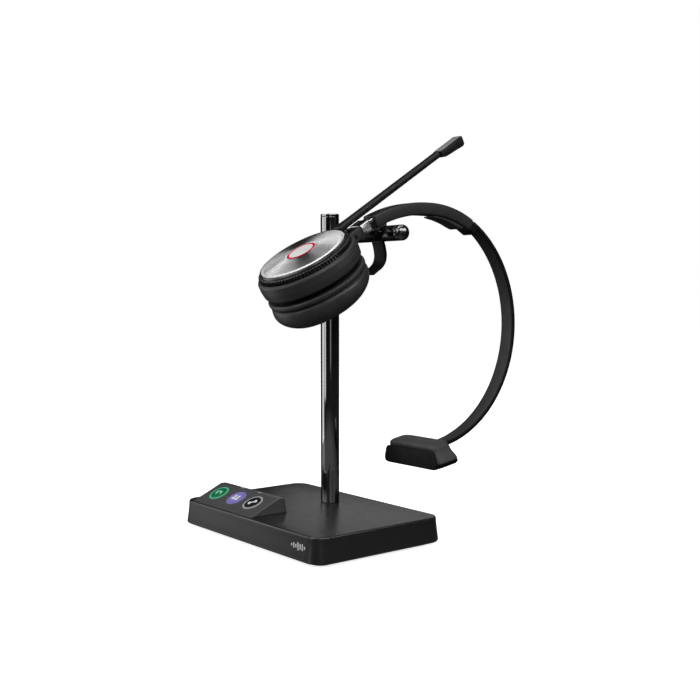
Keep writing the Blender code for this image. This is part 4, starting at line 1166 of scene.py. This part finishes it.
def value_by_ray(tree, unseen, seen, into):
    """Sends one output into a socket for the camera's rays and another for all others."""
    mix, other, camera_ray = mixed_by_ray(tree, "FLOAT", 2, 3)
    tree.links.new(unseen, other)
    tree.links.new(seen, camera_ray)
    tree.links.new(mix.outputs[0], into)


def studio():
    """White surroundings, nine soft boxes and a white floor."""
    scene = bpy.context.scene
    scene.view_settings.view_transform = "Standard"
    world = bpy.data.worlds.new("studio")
    world.use_nodes = True
    tree = world.node_tree
    colour_by_ray(tree, 0.004, 1.0, tree.nodes["Background"].inputs["Color"])
    scene.world = world
    centre = (0.0, 0.0, 0.12)
    softbox("left", (-0.20, -0.193, 0.24), (0.0, 0.0, 0.24), 0.152, 0.50, 1.45)
    softbox("left_fill", (-0.12, -0.60, 0.26), (0.0, 0.0, 0.26), 0.24, 0.55, 1.2)
    softbox("behind_camera", (1.14, -0.63, 0.20), centre, 0.34, 0.50, 0.30)
    softbox("front_left", (-0.10, -0.95, 0.75), centre, 0.8, 0.5, 1.8)
    softbox("front_high", (1.02, -0.48, 0.98), centre, 0.9, 0.7, 3.2)
    softbox("right_high", (1.00, 0.40, 0.74), centre, 0.8, 0.4, 4.0)
    softbox("back_low", (-0.85, 0.98, 0.42), centre, 0.7, 0.30, 0.6)
    softbox("overhead", (-0.15, 0.10, 1.30), centre, 1.0, 0.8, 1.2)
    softbox("disc_light", (-0.22, -0.36, 1.08), tuple(CUP_ORIGIN), 0.45, 0.35, 3.2)
    bm = bmesh.new()
    corner_signs = ((-1, -1), (1, -1), (1, 1), (-1, 1))
    bm.faces.new([bm.verts.new((FLOOR_HALF * x, FLOOR_HALF * y, 0.0)) for x, y in corner_signs])
    floor = added("floor", mesh_of("floor", bm))
    floor.data.materials.append(floor_material())


def brightness_round(tree, centre, near, far, at_near, at_far):
    """A value that changes with the distance from a point, between two radii."""
    place = node(tree, "ShaderNodeTexCoord")
    distance = node(tree, "ShaderNodeVectorMath", operation="DISTANCE")
    tree.links.new(place.outputs["Object"], distance.inputs[0])
    distance.inputs[1].default_value = centre
    return ramp(tree, distance.outputs["Value"], near, far, at_near, at_far)


def floor_material():
    """Matt floor that the camera sees as white, with its glow a little weaker round the stand as
    painted shade; it gives little light but for two faint spots.
    """
    mat, tree, shader = nodes_of("floor_white")
    shader.inputs["Roughness"].default_value = 0.9
    shader.inputs["Specular IOR Level"].default_value = 0.0
    colour_by_ray(tree, 0.01, 0.9, shader.inputs["Base Color"])
    # For the camera's rays the floor's glow is weaker near the stand: a painted darkening round it.
    seen = brightness_round(tree, (0.0, 0.0, 0.0), 0.1, 0.6, 0.84, 1.0)
    near_base = brightness_round(tree, (0.10, -0.12, 0.0), 0.14, 0.34, 0.10, 0.01)
    near_left = brightness_round(tree, (-0.17, -0.165, 0.0), 0.06, 0.14, 0.3, 0.0)
    unseen = node(tree, "ShaderNodeMath", operation="ADD")
    tree.links.new(near_base, unseen.inputs[0])
    tree.links.new(near_left, unseen.inputs[1])
    value_by_ray(tree, unseen.outputs[0], seen, shader.inputs["Emission Strength"])
    shader.inputs["Emission Color"].default_value = (1.0, 1.0, 1.0, 1.0)
    return mat


camera()
base()
front_mark()
panel()
keys()
panel_marks()
post()
peg()
cradle()
headband()
head_pad()
contact_block()
slider_and_knuckle()
tbar()
outer_face()
ribbed_ring()
cup_housing()
cup_back()
ear_cushion()
boom_stem()
microphone()
carried_over()
studio()
